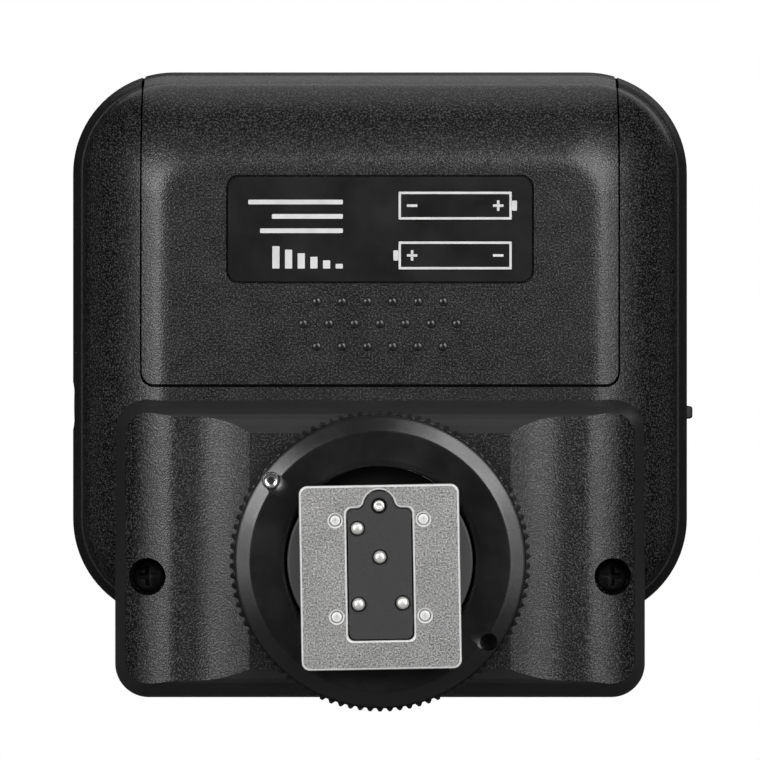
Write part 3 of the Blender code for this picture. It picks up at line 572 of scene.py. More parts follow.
# half-round saddles that keep the cells in line, on the bay's ceiling
saddles = []
for y in (29.0, 44.0):
    for x in (-16.0, 16.0):
        saddles.append(
            build(
                f"bay_saddle_{'l' if x < 0 else 'r'}_{int(y)}",
                box(x - 0.6, x + 0.6, y - 5.2, y + 5.2, 31.2, 34.5),
                INSIDE,
                cuts=[moved(rod(7.35, -6, 6, 64), at(x, y, 26.9) @ Matrix.Rotation(math.radians(90), 4, "Y"))],
            )
        )
stands_for(rear, "housing", "shell_abs", "rear_cover")
extra(bay, "housing")
for piece in saddles:
    extra(piece, "housing")

# ---------------------------------------------------------------- battery door

GRIP_ROWS = (
    (30.4, (-7.5, -4.5, -1.5, 1.5, 4.5, 7.5)),
    (27.8, (-9.1, -6.05, -3.03, 0.0, 3.03, 6.05, 9.1)),
    (25.1, (-7.5, -4.5, -1.5, 1.5, 4.5, 7.5)),
)
label_recess = rrect(-LABEL_X - 0.2, LABEL_X + 0.2, LABEL_Y0 - 0.2, LABEL_Y1 + 0.2, 1.5, 10)
door = build(
    "battery_door_fine",
    loft(head_outer(0.0, ((0.72, 27.0), (0.45, 28.4), (0.2, 29.8), (0.0, 31.0), (0.0, DOOR_Z1))) + head_outer(DOOR_WALL, ((0.72, 27.0), (0.45, 28.4), (0.2, 29.8), (0.0, 31.0), (0.0, DOOR_Z1)))[::-1]),
    GRAIN,
    keeps=[door_prism(0.0)],
    cuts=[prism(label_recess, 10, FLAT_Z + 0.75)],
    bevel=0.16,
    angle=32,
)
stands_for(door, "battery_door", "shell_abs", "battery_door")
dots = []
for y, places in GRIP_ROWS:
    for x in places:
        base, crown = 0.58, 0.16
        sphere = (base**2 + crown**2) / (2 * crown)
        profile = [(0, FLAT_Z + 0.06), (base + 0.02, FLAT_Z + 0.06)]
        for k in range(8):
            r = base * (1 - k / 7)
            profile.append((r, FLAT_Z - 0.005 - (math.sqrt(sphere**2 - r**2) - sphere + crown)))
        dots.append(turned(profile, 20, x, y))
grip = build("door_grip_dots", together(*dots), DOT, smooth=60)
extra(grip, "battery_door")

# label: a dark film in its recess, with plain pictograms in place of print
outline = rrect(-LABEL_X, LABEL_X, LABEL_Y0, LABEL_Y1, 1.4, 10)
label = build("label_film", loft([level(outline, FLAT_Z + 0.12), level(outline, FLAT_Z + 0.5)]), LABEL, bevel=0.08, segments=2)
stands_for(label, "battery_door", "label_gloss", "label_plate")


def printed(name, shapes, mat=PRINT):
    made = build(name, together(*shapes), mat, smooth=30)
    return extra(made, "battery_door")


PZ0, PZ1 = FLAT_Z + 0.095, FLAT_Z + 0.13


def bar(x0, x1, y0, y1, r=0.12):
    r = min(r, (x1 - x0) / 2.01, (y1 - y0) / 2.01)
    return prism(rrect(x0, x1, y0, y1, r, 4), PZ0, PZ1)


def cell_sign(x0, y0, w, h, nub_right, line=0.28):
    """Outline of a cell seen from the side, with plus and minus at its ends."""
    shapes = [
        bar(x0, x0 + w, y0, y0 + line),
        bar(x0, x0 + w, y0 + h - line, y0 + h),
        bar(x0, x0 + line, y0 + line, y0 + h - line, 0.02),
        bar(x0 + w - line, x0 + w, y0 + line, y0 + h - line, 0.02),
    ]
    cy = y0 + h / 2
    if nub_right:
        shapes.append(bar(x0 + w + 0.02, x0 + w + 0.62, cy - 0.6, cy + 0.6))
        plus, minus = x0 + w - 1.6, x0 + 1.6
    else:
        shapes.append(bar(x0 - 0.62, x0 - 0.02, cy - 0.6, cy + 0.6))
        plus, minus = x0 + 1.6, x0 + w - 1.6
    shapes += [bar(plus - 0.62, plus + 0.62, cy - 0.15, cy + 0.15, 0.02), bar(plus - 0.15, plus + 0.15, cy + 0.17, cy + 0.62, 0.02), bar(plus - 0.15, plus + 0.15, cy - 0.62, cy - 0.17, 0.02)]
    shapes.append(bar(minus - 0.62, minus + 0.62, cy - 0.15, cy + 0.15, 0.02))
    return shapes


signs = cell_sign(-15.6, 34.2, 13.4, 3.3, True) + cell_sign(-15.6, 40.1, 13.4, 3.3, False)
printed("label_cells", signs)
lines = []
for k, (x0, x1) in enumerate(((4.4, 15.6), (4.4, 12.8), (4.4, 14.2))):
    lines.append(bar(x0, x1, 41.9 - 1.7 * k, 42.45 - 1.7 * k, 0.1))
lines += [bar(4.4 + 1.5 * k, 4.4 + 1.5 * k + 0.85, 34.3, 34.3 + 0.55 + 0.42 * k, 0.08) for k in range(6)]
printed("label_lines", lines)

# ---------------------------------------------------------------- front cover

WINDOW = (0.0, 44.5, 48.0, 30.0)
KEY_V, KEY_U, KEY_W, KEY_H = 24.6, (-16.5, -5.5, 5.5, 16.5), 8.0, 4.2
DIAL_V, DIAL_R = 12.2, 8.2
SIDE_KEYS = {"menu_button": (-17.5, 13.6), "mode_button": (17.5, 13.6)}
TEST_UV, TEST_R = (-27.5, 13.0), 3.2
LAMP_UV, LAMP_R = (27.5, 13.0), 1.2
SWITCH_Y, SWITCH_Z, SWITCH_TRAVEL = 17.2, 34.0, 2.5
USB_Y, USB_Z = 30.5, 36.6
SYNC_Y, SYNC_Z = 18.0, 31.8


def pad(u, v, w, h, r, z0, z1, seg=8):
    return prism(rrect(u - w / 2, u + w / 2, v - h / 2, v + h / 2, r, seg), z0, z1)


ACROSS = Matrix.Rotation(math.radians(90), 4, "Y")
face_cuts = [pad(WINDOW[0], WINDOW[1], WINDOW[2] + 0.5, WINDOW[3] + 0.5, 1.5, -1.3, 3), rod(6.4, -6, 3, 64, 0, DIAL_V), rod(TEST_R + 0.25, -6, 3, 48, *TEST_UV), rod(LAMP_R + 0.2, -6, 3, 32, *LAMP_UV)]
face_cuts += [pad(u, KEY_V, KEY_W + 0.5, KEY_H + 0.5, 1.2, -6, 3) for u in KEY_U]
face_cuts += [pad(u, v, 7.5, 4.7, 1.2, -6, 3) for u, v in SIDE_KEYS.values()]
# the front cover takes the darker grained plastic, painted shade for its steep rim
front = build(
    "front_cover_fine",
    loft(front_rings(WALL)[::-1] + front_rings(0.0)),
    GRAIN_FINE_PAINTED_SHADE,
    cuts=[
        box(-DOOR_X - 0.34, DOOR_X + 0.34, 50, 70, 20, DOOR_Z1 + 0.22),
        moved(together(*face_cuts), FACE),
        moved(pad(WINDOW[0], WINDOW[1], 46.0, 28.0, 0.8, -6, 3), FACE),
        moved(rod(DIAL_R + 0.35, -0.9, 3, 72, 0, DIAL_V), FACE),
        box(-40, -33, SWITCH_Y - 1.0, SWITCH_Y + SWITCH_TRAVEL + 1.0, SWITCH_Z - 2.45, SWITCH_Z + 2.45),
        moved(prism(rrect(-1.9, 1.9, -4.9, 4.9, 1.6, 10), 33, 40), at(0, USB_Y, USB_Z) @ ACROSS),
        moved(rod(2.95, 33, 40, 48), at(0, SYNC_Y, SYNC_Z) @ ACROSS),
    ],
    bevel=0.22,
    angle=32,
)
stands_for(front, "housing", "shell_abs", "front_cover")

# ---------------------------------------------------------------- foot block

BLOCK = (
    (BLOCK_Z, 28.9, BLOCK_Y0, BLOCK_Y1, 2.2),
    (10.85, 29.0, -13.1, 15.3, 2.3),
    (11.2, 29.1, -13.4, 15.8, 2.4),
    (11.8, 29.3, -13.98, 16.5, 2.65),
    (12.6, 29.5, -14.5, 17.1, 2.9),
    (13.7, 29.8, -15.0, 17.65, 3.1),
    (15.0, 30.1, -15.4, 18.08, 3.3),
    (17.0, 30.75, -16.03, 18.6, 3.6),
    (19.0, 31.3, -16.5, 19.0, 3.9),
    (22.0, 31.55, -16.68, 19.45, 4.0),
    (24.6, 31.6, -16.7, 19.6, 4.0),
    (25.5, 31.42, -16.55, 19.48, 3.9),
    (26.2, 31.1, -16.2, 19.2, 3.6),
    (26.75, 30.35, -15.5, 18.62, 3.2),
    (27.0, 29.6, -14.8, 18.1, 2.9),
)
WING = (
    (CREASE_X, 0.0),
    (15.9, 0.235),
    (16.5, 0.455),
    (17.5, 0.795),
    (18.5, 1.08),
    (19.5, 1.315),
    (20.5, 1.495),
    (21.6, 1.605),
    (GROOVE_X, 1.635),
    (23.8, 1.655),
    (24.5, 1.70),
    (25.5, 1.88),
    (26.5, 2.15),
    (28.0, 2.70),
    (29.0, 3.24),
    (29.6, 3.69),
    (30.0, 4.1),
    (30.4, 5.2),
)


def wing_profile(steps=4):
    """(x, z) of one wing's underside, from the crease outwards, as a smooth curve through the CAD's points."""
    gaps = [(b[1] - a[1]) / (b[0] - a[0]) for a, b in zip(WING, WING[1:])]
    grades = [gaps[0] * 1.1] + [2 * a * b / (a + b) for a, b in zip(gaps, gaps[1:])] + [gaps[-1]]
    points = []
    for i, ((x0, z0), (x1, z1)) in enumerate(zip(WING, WING[1:])):
        w = x1 - x0
        for k in range(steps):
            u = k / steps
            z = (
                (2 * u**3 - 3 * u**2 + 1) * z0
                + (u**3 - 2 * u**2 + u) * w * grades[i]
                + (3 * u**2 - 2 * u**3) * z1
                + (u**3 - u**2) * w * grades[i + 1]
            )
            points.append((x0 + w * u, BLOCK_Z + z))
    return points + [(WING[-1][0], BLOCK_Z + WING[-1][1])]


def wing_tool(side):
    wing = wing_profile()
    outline = [(side * x, z) for x, z in wing] + [(side * 36, wing[-1][1]), (side * 36, 4.0), (side * CREASE_X, 4.0)]
    return loft([[(x, y, z) for x, z in outline] for y in (-30.0, 30.0)])


block_tools = [wing_tool(1), wing_tool(-1), loft(head_outer(-0.12, ((0.0, WIDE_Z), (0.0, 45.0))))]
block_tools += [box(-13.2, 13.2, -7.95, 12.3, 12.8, 40), box(-13.2, 13.2, -11.8, -7.0, 12.8, 24.8)]
block_tools += [
    turned([(0, 5), (2.2, 5), (2.2, 18.8), (1.2, 18.8), (1.2, 40), (0, 40)], 48, s * FOOT_SCREW_X, FOOT_SCREW_Y) for s in (-1, 1)
]
block_tools += [rod(POST_R + 0.3, 5, 20, 64)]


def fine_block_rings():
    """The block's outline, from its lower face up, with the lower edges left for the bevel."""
    return [level(rrect(-x, x, y0, y1, r, 12), z) for z, x, y0, y1, r in BLOCK]


block = build("foot_block_fine", loft(fine_block_rings(), 0, 1), [GRAIN, SMOOTH], cuts=block_tools, bevel=0.2, angle=17, segments=3, smooth=17)
stands_for(block, "housing", "shell_abs", "foot_block")


def socket_screw(name, x, y, z0, head_r, head_h, shank_r, z1, body, node, slot="bright_screw", mat=NICKEL, down=False, drive="hex"):
    """Screw whose head faces down (or up), with a recess cut in it."""
    s = -1 if down else 1
    profile = [(0, z0), (head_r * 0.86, z0), (head_r * 0.96, z0 + s * 0.08 * head_h), (head_r, z0 + s * 0.22 * head_h), (head_r, z0 + s * head_h), (shank_r, z0 + s * head_h), (shank_r, z1 - s * 0.3), (shank_r * 0.6, z1), (0, z1)]
    if drive == "hex":
        recess = prism(circle(head_r * 0.52, 6, x, y), min(z0 - s * 0.5, z0 + s * head_h * 0.62), max(z0 - s * 0.5, z0 + s * head_h * 0.62))
        cutters = [recess]
    else:
        w = head_r * 0.17
        lo, hi = sorted((z0 - s * 0.5, z0 + s * head_h * 0.5))
        cutters = [box(x - head_r * 0.62, x + head_r * 0.62, y - w, y + w, lo, hi), box(x - w, x + w, y - head_r * 0.62, y + head_r * 0.62, lo, hi)]
    made = build(name, turned(profile, 40, x, y), mat, cuts=cutters, bevel=0.04, segments=2)
    return stands_for(made, body, slot, node)


for k, s in ((1, 1), (2, -1)):
    socket_screw(f"foot_screw_fine_{k}", s * FOOT_SCREW_X, FOOT_SCREW_Y, 16.9, 1.85, 1.6, 0.85, 31.0, "housing", f"foot_screw_{k}", drive="cross", mat=BLACKENED)

# ---------------------------------------------------------------- lock ring


def ring_mesh():
    per = 8
    n = RING_TEETH * per
    inner = [(RING_THREAD, RING_Z0 + 3.4), (RING_BORE - 0.02, RING_Z0 + 3.4), (RING_BORE, RING_Z0 + 3.3), (RING_BORE, RING_Z0 + 0.22), (RING_BORE + 0.06, RING_Z0 + 0.07), (RING_BORE + 0.22, RING_Z0)]
    face = [(11.9, RING_Z0), (13.4, RING_Z0), (14.9, RING_Z0), (15.12, RING_Z0 + 0.002), (15.2, RING_Z0 + 0.012), (15.3, RING_Z0 + 0.035)]
    band = [(15.3 + 1.62 * k / 5, RING_Z0 + 0.035 + 0.485 * k / 5) for k in range(1, 6)]
    band += [(16.97, RING_Z0 + 0.56), (17.0, RING_Z0 + 0.64), (17.01, RING_Z0 + 0.8), (17.02, RING_Z0 + 1.2)]
    upper = [(17.0, RING_Z1 - 0.3), (16.85, RING_Z1 - 0.08), (16.6, RING_Z1), (12.0, RING_Z1), (RING_THREAD, RING_Z1)]
    bm = bmesh.new()

    def row(r, z):
        return [bm.verts.new(Vector((r * math.cos(2 * math.pi * i / n), r * math.sin(2 * math.pi * i / n), z)) * MM) for i in range(n)]

    def tooth(depth, z):
        """depth 0 is the plain wall, 1 the full tooth."""
        verts = []
        for i in range(n):
            k = (i % per) / per
            lift = max(0.0, min(1.0, 1.5 - abs(k - 0.5) * 4.0))
            r = 17.05 + depth * ((RING_VALLEY - 17.05) + (RING_TIP - RING_VALLEY) * lift)
            a = 2 * math.pi * i / n
            verts.append(bm.verts.new(Vector((r * math.cos(a), r * math.sin(a), z)) * MM))
        return verts

    rows = [row(r, z) for r, z in inner + face + band]
    rows += [tooth(0.1, RING_Z0 + 1.4), tooth(0.97, RING_Z0 + 1.42), tooth(1.0, RING_Z0 + 1.5), tooth(1.0, RING_Z1 - 1.0), tooth(0.8, RING_Z1 - 0.75), tooth(0.0, RING_Z1 - 0.5)]
    rows += [row(r, z) for r, z in upper]
    # the inner step, its edge, the inner band of the top face and the thread bore take the near-black second material,
    # painted shade inside the bore
    for k, (low, high) in enumerate(list(zip(rows, rows[1:])) + [(rows[-1], rows[0])]):
        for i in range(n):
            j = (i + 1) % n
            bm.faces.new((low[i], low[j], high[j], high[i])).material_index = 1 if k < 2 or k >= len(rows) - 2 else 0
    return outward(bm)


HOLE_A, HOLE_B = (12.7, 9.4), (-12.67, -9.4)


def ring_hole(x, y):
    return turned([(0, 3), (1.4, 3), (1.4, RING_Z0 - 0.02), (1.4, RING_Z0), (1.03, RING_Z0 + 0.13), (1.03, RING_Z0 + 3.0), (0, RING_Z0 + 3.0)], 40, x, y)


ring = build("lock_ring_fine", ring_mesh(), [RINGMAT, RING_BORE_PAINTED_SHADE], cuts=[ring_hole(*HOLE_A), ring_hole(*HOLE_B)], smooth=38)
stands_for(ring, "lock_ring", "ring_nylon", "lock_ring")
stop = build(
    "ring_stop_screw_fine",
    turned([(0, 5.52), (0.45, 5.5), (0.52, 5.47), (0.84, 5.36), (0.93, 5.38), (0.98, 5.46), (0.98, 7.6), (0, 7.6)], 48, *HOLE_A),
    DARK_STEEL,
    cuts=[prism(circle(0.46, 6, *HOLE_A), 5, 7.0)],
    bevel=0.04,
    segments=2,
)
stands_for(stop, "lock_ring", "bright_screw", "ring_stop_screw")

# ---------------------------------------------------------------- pressure plate


def clamp_outline(r=PLATE_R, n=96):
    points = []
    for i in range(n + 1):
        a = math.radians(90 - 42.3 - 275.4 * i / n)
        points.append((r * math.cos(a), r * math.sin(a)))
    inner_r, half = POST_R + 0.3, POST_FLAT + 0.3
    low = math.asin(math.sqrt(1 - (half / inner_r) ** 2))
    points.append((-half, 8.0))
    for i in range(25):
        a = math.radians(180) + low + (math.pi - 2 * low) * i / 24
        points.append((inner_r * math.cos(a), inner_r * math.sin(a)))
    points.append((half, 8.0))
    return points[::-1]


clamp = build("pressure_plate_fine", prism(clamp_outline(), 4.9, 6.3), CLAMP, bevel=0.22, angle=50, segments=4)
stands_for(clamp, "pressure_plate", "ring_nylon", "pressure_plate")

# ---------------------------------------------------------------- foot post


def flatted(r, flat, n=24):
    a0 = math.acos(flat / r)
    points = []
    for start in (a0, math.pi + a0):
        for i in range(n + 1):
            a = start + (math.pi - 2 * a0) * i / n
            points.append((r * math.cos(a), r * math.sin(a)))
    return points


def thread_rings(r0, r1, z0, z1, pitch, n=64):
    """A plain cylinder with shallow round grooves, one every pitch."""
    profile = []
    z = z0
    while z < z1 - 0.01:
        for k in range(4):
            profile.append((r1 if k in (1, 2) else r0, min(z + pitch * k / 4, z1)))
        z += pitch
    return [(0, z0)] + profile + [(r0, z1), (0, z1)]


post = build(
    "foot_post_fine",
    prism(flatted(POST_R - 0.1, POST_FLAT), 2.3, 7.0),
    NICKEL,
    joins=[turned(thread_rings(POST_R - 0.3, POST_R, 6.6, 13.6, 1.0), 72), rod(11.4, 13.1, 14.9, 64)],
    cuts=[prism(rrect(-3.9, 3.9, -6.2, 5.1, 0.6, 6), 0, 25), rod(1.15, 0, 11, 24, 0, LOCK_PIN_Y)],
    bevel=0.08,
    segments=2,
)
stands_for(post, "housing", "plated_steel", "foot_post")

# ---------------------------------------------------------------- shoe plate, insert and contacts

# the plate sits a degree off square on its post, as assembled
SKEW = Matrix.Rotation(math.radians(-1.0), 4, "Z")


def insert_outline(grow=0.0):
    x1, y0, y1, r = 3.7 + grow, -8.87 - grow, 6.2 + grow, 0.75
    tab_y, tab_r, fillet = 6.6, 1.7 + grow, 1.0 - grow
    points = []
    for i in range(9):
        a = math.radians(90 * i / 8)
        points.append((x1 - r + r * math.cos(a), y1 - r + r * math.sin(a)))
    # concave fillet between the straight edge and the tab
    cy = y1 + fillet
    reach = math.sqrt(max((tab_r + fillet) ** 2 - (cy - tab_y) ** 2, 0.01))
    a_touch = math.atan2(tab_y - cy, -reach)
    for i in range(9):
        a = math.radians(270) + (a_touch % (2 * math.pi) - math.radians(270)) * i / 8
        points.append((reach + fillet * math.cos(a), cy + fillet * math.sin(a)))
    a0 = math.atan2(cy - tab_y, reach)
    for i in range(1, 24):
        a = a0 + (math.pi - 2 * a0) * i / 24
        points.append((tab_r * math.cos(a), tab_y + tab_r * math.sin(a)))
    for i in range(8, -1, -1):
        a = math.radians(270) + (a_touch % (2 * math.pi) - math.radians(270)) * i / 8
        points.append((-reach - fillet * math.cos(a), cy + fillet * math.sin(a)))
    for cx, ccy, start in ((-x1 + r, y1 - r, 90), (-x1 + r, y0 + r, 180), (x1 - r, y0 + r, 270)):
        for i in range(9):
            a = math.radians(start + 90 * i / 8)
            points.append((cx + r * math.cos(a), ccy + r * math.sin(a)))
    return points


def shoe_ring(inset, z):
    return level(rrect(-SHOE_X + inset, SHOE_X - inset, SHOE_Y0 + inset, SHOE_Y1 - inset, 1.0 - inset * 0.6, 12), z)


def painted_highlight_edged(bm):
    """The same shape with its faces in the second material, so that what it cuts gets the near-white second material: a
    painted highlight along the cut edges.
    """
    for face in bm.faces:
        face.material_index = 1
    return bm


seats = [painted_highlight_edged(turned([(0, -0.5), (0.9, -0.5), (0.9, -0.0005), (0.72, 0.11), (0.72, 0.75), (0.6, 0.85), (0.6, 4), (0, 4)], 40, x, y)) for x, y in PLATE_SCREWS]
shoe_rings = [shoe_ring(0.26, 0.0), shoe_ring(0.14, 0.045), shoe_ring(0.07, 0.13), shoe_ring(0.04, 0.25), shoe_ring(0.04, SHOE_T)]
insert_seat = [level(insert_outline(0.34), -1.0), level(insert_outline(0.34), -0.0005), level(insert_outline(0.22), 0.06), level(insert_outline(0.14), 0.16), level(insert_outline(0.14), 4.0)]
# the plate's outer chamfer and sides take the near-white second material, a painted highlight along its edges
shoe = build(
    "foot_plate_fine",
    moved(loft(shoe_rings, 0, 1), SKEW),
    [PLATE, PAINTED_HIGHLIGHT_WHITE],
    cuts=[moved(painted_highlight_edged(loft(insert_seat)), SKEW), moved(together(*seats), SKEW)],
    smooth=12,
)
stands_for(shoe, "housing", "plated_steel", "foot_plate")

holes = [turned([(0, -1), (0.9, -1), (0.9, 0.36), (0.85, 0.45), (0.85, 4), (0, 4)], 40, x, y) for x, y in PINS]
holes.append(turned([(0, -1), (0.98, -1), (0.98, 0.37), (0.88, 0.5), (0.88, 4), (0, 4)], 32, 0, LOCK_PIN_Y))
insert = build(
    "contact_insert_fine",
    moved(loft([level(insert_outline(-0.03), 0.35), level(insert_outline(-0.03), 1.95)]), SKEW),
    INSERT,
    joins=[moved(box(-3.5, 3.5, -5.8, 4.7, 1.5, 5.9), SKEW)],
    cuts=[moved(together(*holes), SKEW)],
    bevel=0.07,
    angle=50,
    segments=2,
)
stands_for(insert, "housing", "insert_plastic", "contact_insert")


def skewed(x, y):
    p = SKEW @ Vector((x, y, 0))
    return p.x, p.y


for k, (x, y) in enumerate(PINS, 1):
    px, py = skewed(x, y)
    profile = [(0, -0.5)] + [(0.66 * math.sin(a), -0.5 + 0.24 * (1 - math.cos(a))) for a in (math.radians(d) for d in (15, 30, 45, 60, 75, 90))]
    profile += [(0.72, -0.18), (0.74, 0.2), (0.74, 2.85), (1.08, 2.85), (1.08, 3.4), (0.42, 3.4), (0.42, 4.0), (0, 4.0)]
    pin = build(f"contact_pin_fine_{k}", turned(profile, 40, px, py), PIN, smooth=40)
    stands_for(pin, f"contact_pin_{k}", "gold_contact", f"contact_pin_{k}")
    coil = build(f"contact_spring_fine_{k}", moved(swept(helix(0.82, 0.82, 3.5, 5.0, 20), 0.1, 8), at(px, py, 4.3)), WIRE, smooth=60)
    stands_for(coil, "housing", "spring_wire", f"contact_spring_{k}")
px, py = skewed(0, LOCK_PIN_Y)
pin = build(
    "lock_pin_fine",
    turned([(0, 0.18), (0.16, 0.16), (0.24, 0.08), (0.42, 0.05), (0.56, 0.1), (0.66, 0.3), (0.68, 0.5), (0.68, 6.1), (0.95, 6.1), (0.95, 6.7), (0, 6.7)], 40, px, py),
    PIN,
    smooth=40,
)
stands_for(pin, "lock_pin", "plated_steel", "lock_pin")
coil = build("lock_pin_spring_fine", moved(swept(helix(0.72, 0.72, 3.3, 5.0, 20), 0.1, 8), at(px, py, 7.15)), WIRE, smooth=60)
stands_for(coil, "housing", "spring_wire", "lock_pin_spring")
# the plate screws take the near-white painted-highlight material
for k, (x, y) in enumerate(PLATE_SCREWS, 1):
    sx, sy = skewed(x, y)
    profile = [(0, 0.04), (0.46, 0.04), (0.56, 0.08), (0.6, 0.18), (0.6, 0.6), (0.45, 0.7), (0.45, 5.5), (0, 5.5)]
    cross = [box(sx - 0.3, sx + 0.3, sy - 0.055, sy + 0.055, -0.3, 0.26), box(sx - 0.055, sx + 0.055, sy - 0.3, sy + 0.3, -0.3, 0.26)]
    made = build(f"plate_screw_fine_{k}", turned(profile, 36, sx, sy), PAINTED_HIGHLIGHT_WHITE, cuts=cross, smooth=40)
    stands_for(made, "housing", "bright_screw", f"plate_screw_{k}")

# ---------------------------------------------------------------- control face


def face_piece(name, bm, mats, u=0.0, v=0.0, **options):
    for key in ("cuts", "joins", "keeps"):
        if key in options:
            options[key] = [moved(shape, on_face(u, v)) for shape in options[key]]
    return build(name, moved(bm, on_face(u, v)), mats, **options)


def rounded_pad(w, h, r, z0, z1, round_r, steps=5, seg=8, crown=0.0):
    """A pad with upright sides, a rounded top edge and a slightly crowned or dished top."""
    rings = [level(rrect(-w / 2, w / 2, -h / 2, h / 2, r, seg), z0)]
    for k in range(steps + 1):
        a = math.pi / 2 * k / steps
        inset = round_r * (1 - math.cos(a))
        rings.append(
            level(
                rrect(-w / 2 + inset, w / 2 - inset, -h / 2 + inset, h / 2 - inset, max(r - inset, 0.25), seg),
                z1 - round_r + round_r * math.sin(a),
            )
        )
    for k, share in ((1, 0.75), (2, 0.45), (3, 0.15)):
        iw, ih = (w / 2 - round_r) * share, (h / 2 - round_r) * share
        rings.append(level(rrect(-iw, iw, -ih, ih, max(r - round_r, 0.3) * share, seg), z1 + crown * (1 - share * share)))
    return loft(rings)


window = face_piece("window_glass_fine", rounded_pad(48.0, 30.0, 1.2, -1.0, -0.1, 0.18, 3), GLASS, *WINDOW[:2], smooth=50)
stands_for(window, "housing", "window_glass", "display_window")
border = face_piece(
    "window_border",
    pad(0, 0, 47.7, 29.7, 1.1, -1.26, -1.04),
    LABEL,
    *WINDOW[:2],
    cuts=[pad(0, 0, 41.6, 23.4, 0.9, -3, 1)],
)
extra(border, "housing")
lcd = face_piece("lcd_fine", pad(0, 0, 43.5, 25.5, 0.4, -2.9, -1.6), LCD, *WINDOW[:2], bevel=0.1, segments=2)
stands_for(lcd, "housing", "lcd_glass", "lcd_panel")


def mark(name, shapes, body, mat=PRINT_DIM):
    return extra(build(name, together(*shapes), mat, smooth=30), body)


def flat_shape(u, v, w, h, r, z0, z1):
    return moved(prism(rrect(-w / 2, w / 2, -h / 2, h / 2, min(r, w / 2.02, h / 2.02), 4), z0, z1), on_face(u, v))


def washer(r0, r1, z0, z1, n=32):
    return turned([(r0, z0), (r1, z0), (r1, z1), (r0, z1)], n)


def key_cap(name, node, u, v, w, h):
    cap = face_piece(
        name,
        rounded_pad(w, h, 1.0, -3.0, 0.74, 0.34, 6, crown=0.06),
        KEY,
        u,
        v,
        joins=[pad(0, 0, w + 1.4, min(h + 1.4, 6.0), 1.2, -3.1, -2.35, 3)],
        smooth=40,
    )
    return stands_for(cap, node, "key_rubber", node)


for k, u in enumerate(KEY_U, 1):
    key_cap(f"function_key_fine_{k}", f"function_key_{k}", u, KEY_V, KEY_W, KEY_H)
    mark(
        f"function_key_print_{k}",
        [flat_shape(u + 0.75 * (i - (k - 1) / 2), KEY_V, 0.34, 1.3, 0.15, 0.795, 0.815) for i in range(k)],
        f"function_key_{k}",
    )
key_cap("menu_button_fine", "menu_button", *SIDE_KEYS["menu_button"], 7.0, 4.2)
mark(
    "menu_button_print",
    [flat_shape(SIDE_KEYS["menu_button"][0], SIDE_KEYS["menu_button"][1] + d, 1.9, 0.26, 0.1, 0.795, 0.815) for d in (-0.6, 0, 0.6)],
    "menu_button",
)
key_cap("mode_button_fine", "mode_button", *SIDE_KEYS["mode_button"], 7.0, 4.2)
mark("mode_button_print", [moved(washer(0.55, 0.82, 0.795, 0.815), on_face(*SIDE_KEYS["mode_button"]))], "mode_button")
# thin printed ticks on the cover above the keys
mark(
    "face_ticks",
    [flat_shape(u, KEY_V + 3.35, 2.6, 0.28, 0.12, -0.01, 0.014) for u in KEY_U],
    "housing",
)

test = face_piece(
    "test_button_fine",
    turned(
        [(0, -3.0), (TEST_R + 0.8, -3.0), (TEST_R + 0.8, -2.35), (TEST_R, -2.35), (TEST_R, 0.5)]
        + [(TEST_R - 0.35 + 0.35 * math.cos(a), 0.55 + 0.35 * math.sin(a)) for a in (math.radians(d) for d in (18, 36, 54, 72, 90))]
        + [(2.3, 0.885), (1.6, 0.82), (0.8, 0.78), (0, 0.77)],
        64,
    ),
    KEY,
    *TEST_UV,
    smooth=40,
)
stands_for(test, "test_button", "key_rubber", "test_button")
mark("test_button_print", [moved(washer(1.15, 1.4, 0.77, 0.83), on_face(*TEST_UV))], "test_button")
lamp = face_piece(
    "status_lamp_fine",
    turned(
        [(0, -2.6), (LAMP_R + 0.7, -2.6), (LAMP_R + 0.7, -2.2), (LAMP_R, -2.2), (LAMP_R, 0.02)]
        + [(LAMP_R * math.cos(a), 0.02 + 0.4 * math.sin(a)) for a in (math.radians(d) for d in (15, 30, 45, 60, 75))]
        + [(0, 0.42)],
        40,
    ),
    LAMP,
    *LAMP_UV,
    smooth=40,
)
stands_for(lamp, "housing", "lamp_lens", "status_lamp")


def dial_mesh(teeth=22, per=12):
    n = teeth * per
    bm = bmesh.new()

    def ring_of(radius, z):
        made = []
        for i in range(n):
            a = 2 * math.pi * i / n
            r = radius(i) if callable(radius) else radius
            made.append(bm.verts.new(Vector((r * math.cos(a), r * math.sin(a), z)) * MM))
        return made

    def scallop(depth, base):
        def radius(i):
            k = (i % per) / per
            return base - depth * (0.5 + 0.5 * math.cos(2 * math.pi * k)) ** 2

        return radius

    rows = [ring_of(4.2, -3.9), ring_of(5.9, -3.9), ring_of(5.9, -0.55), ring_of(DIAL_R - 0.45, -0.55)]
    rows += [ring_of(scallop(0.2, DIAL_R - 0.2), -0.42), ring_of(scallop(0.38, DIAL_R), -0.2), ring_of(scallop(0.38, DIAL_R), 0.82)]
    for k in range(1, 7):
        a = math.pi / 2 * k / 6
        rows.append(ring_of(scallop(0.38 * math.cos(a), DIAL_R - 0.62 * (1 - math.cos(a))), 0.88 + 0.62 * math.sin(a)))
    rows += [ring_of(6.6, 1.47), ring_of(5.6, 1.38), ring_of(4.9, 1.3), ring_of(4.45, 1.16), ring_of(4.25, 1.0)]
    for low, high in list(zip(rows, rows[1:])) + [(rows[-1], rows[0])]:
        for i in range(n):
            j = (i + 1) % n
            bm.faces.new((low[i], low[j], high[j], high[i]))
    return outward(bm)


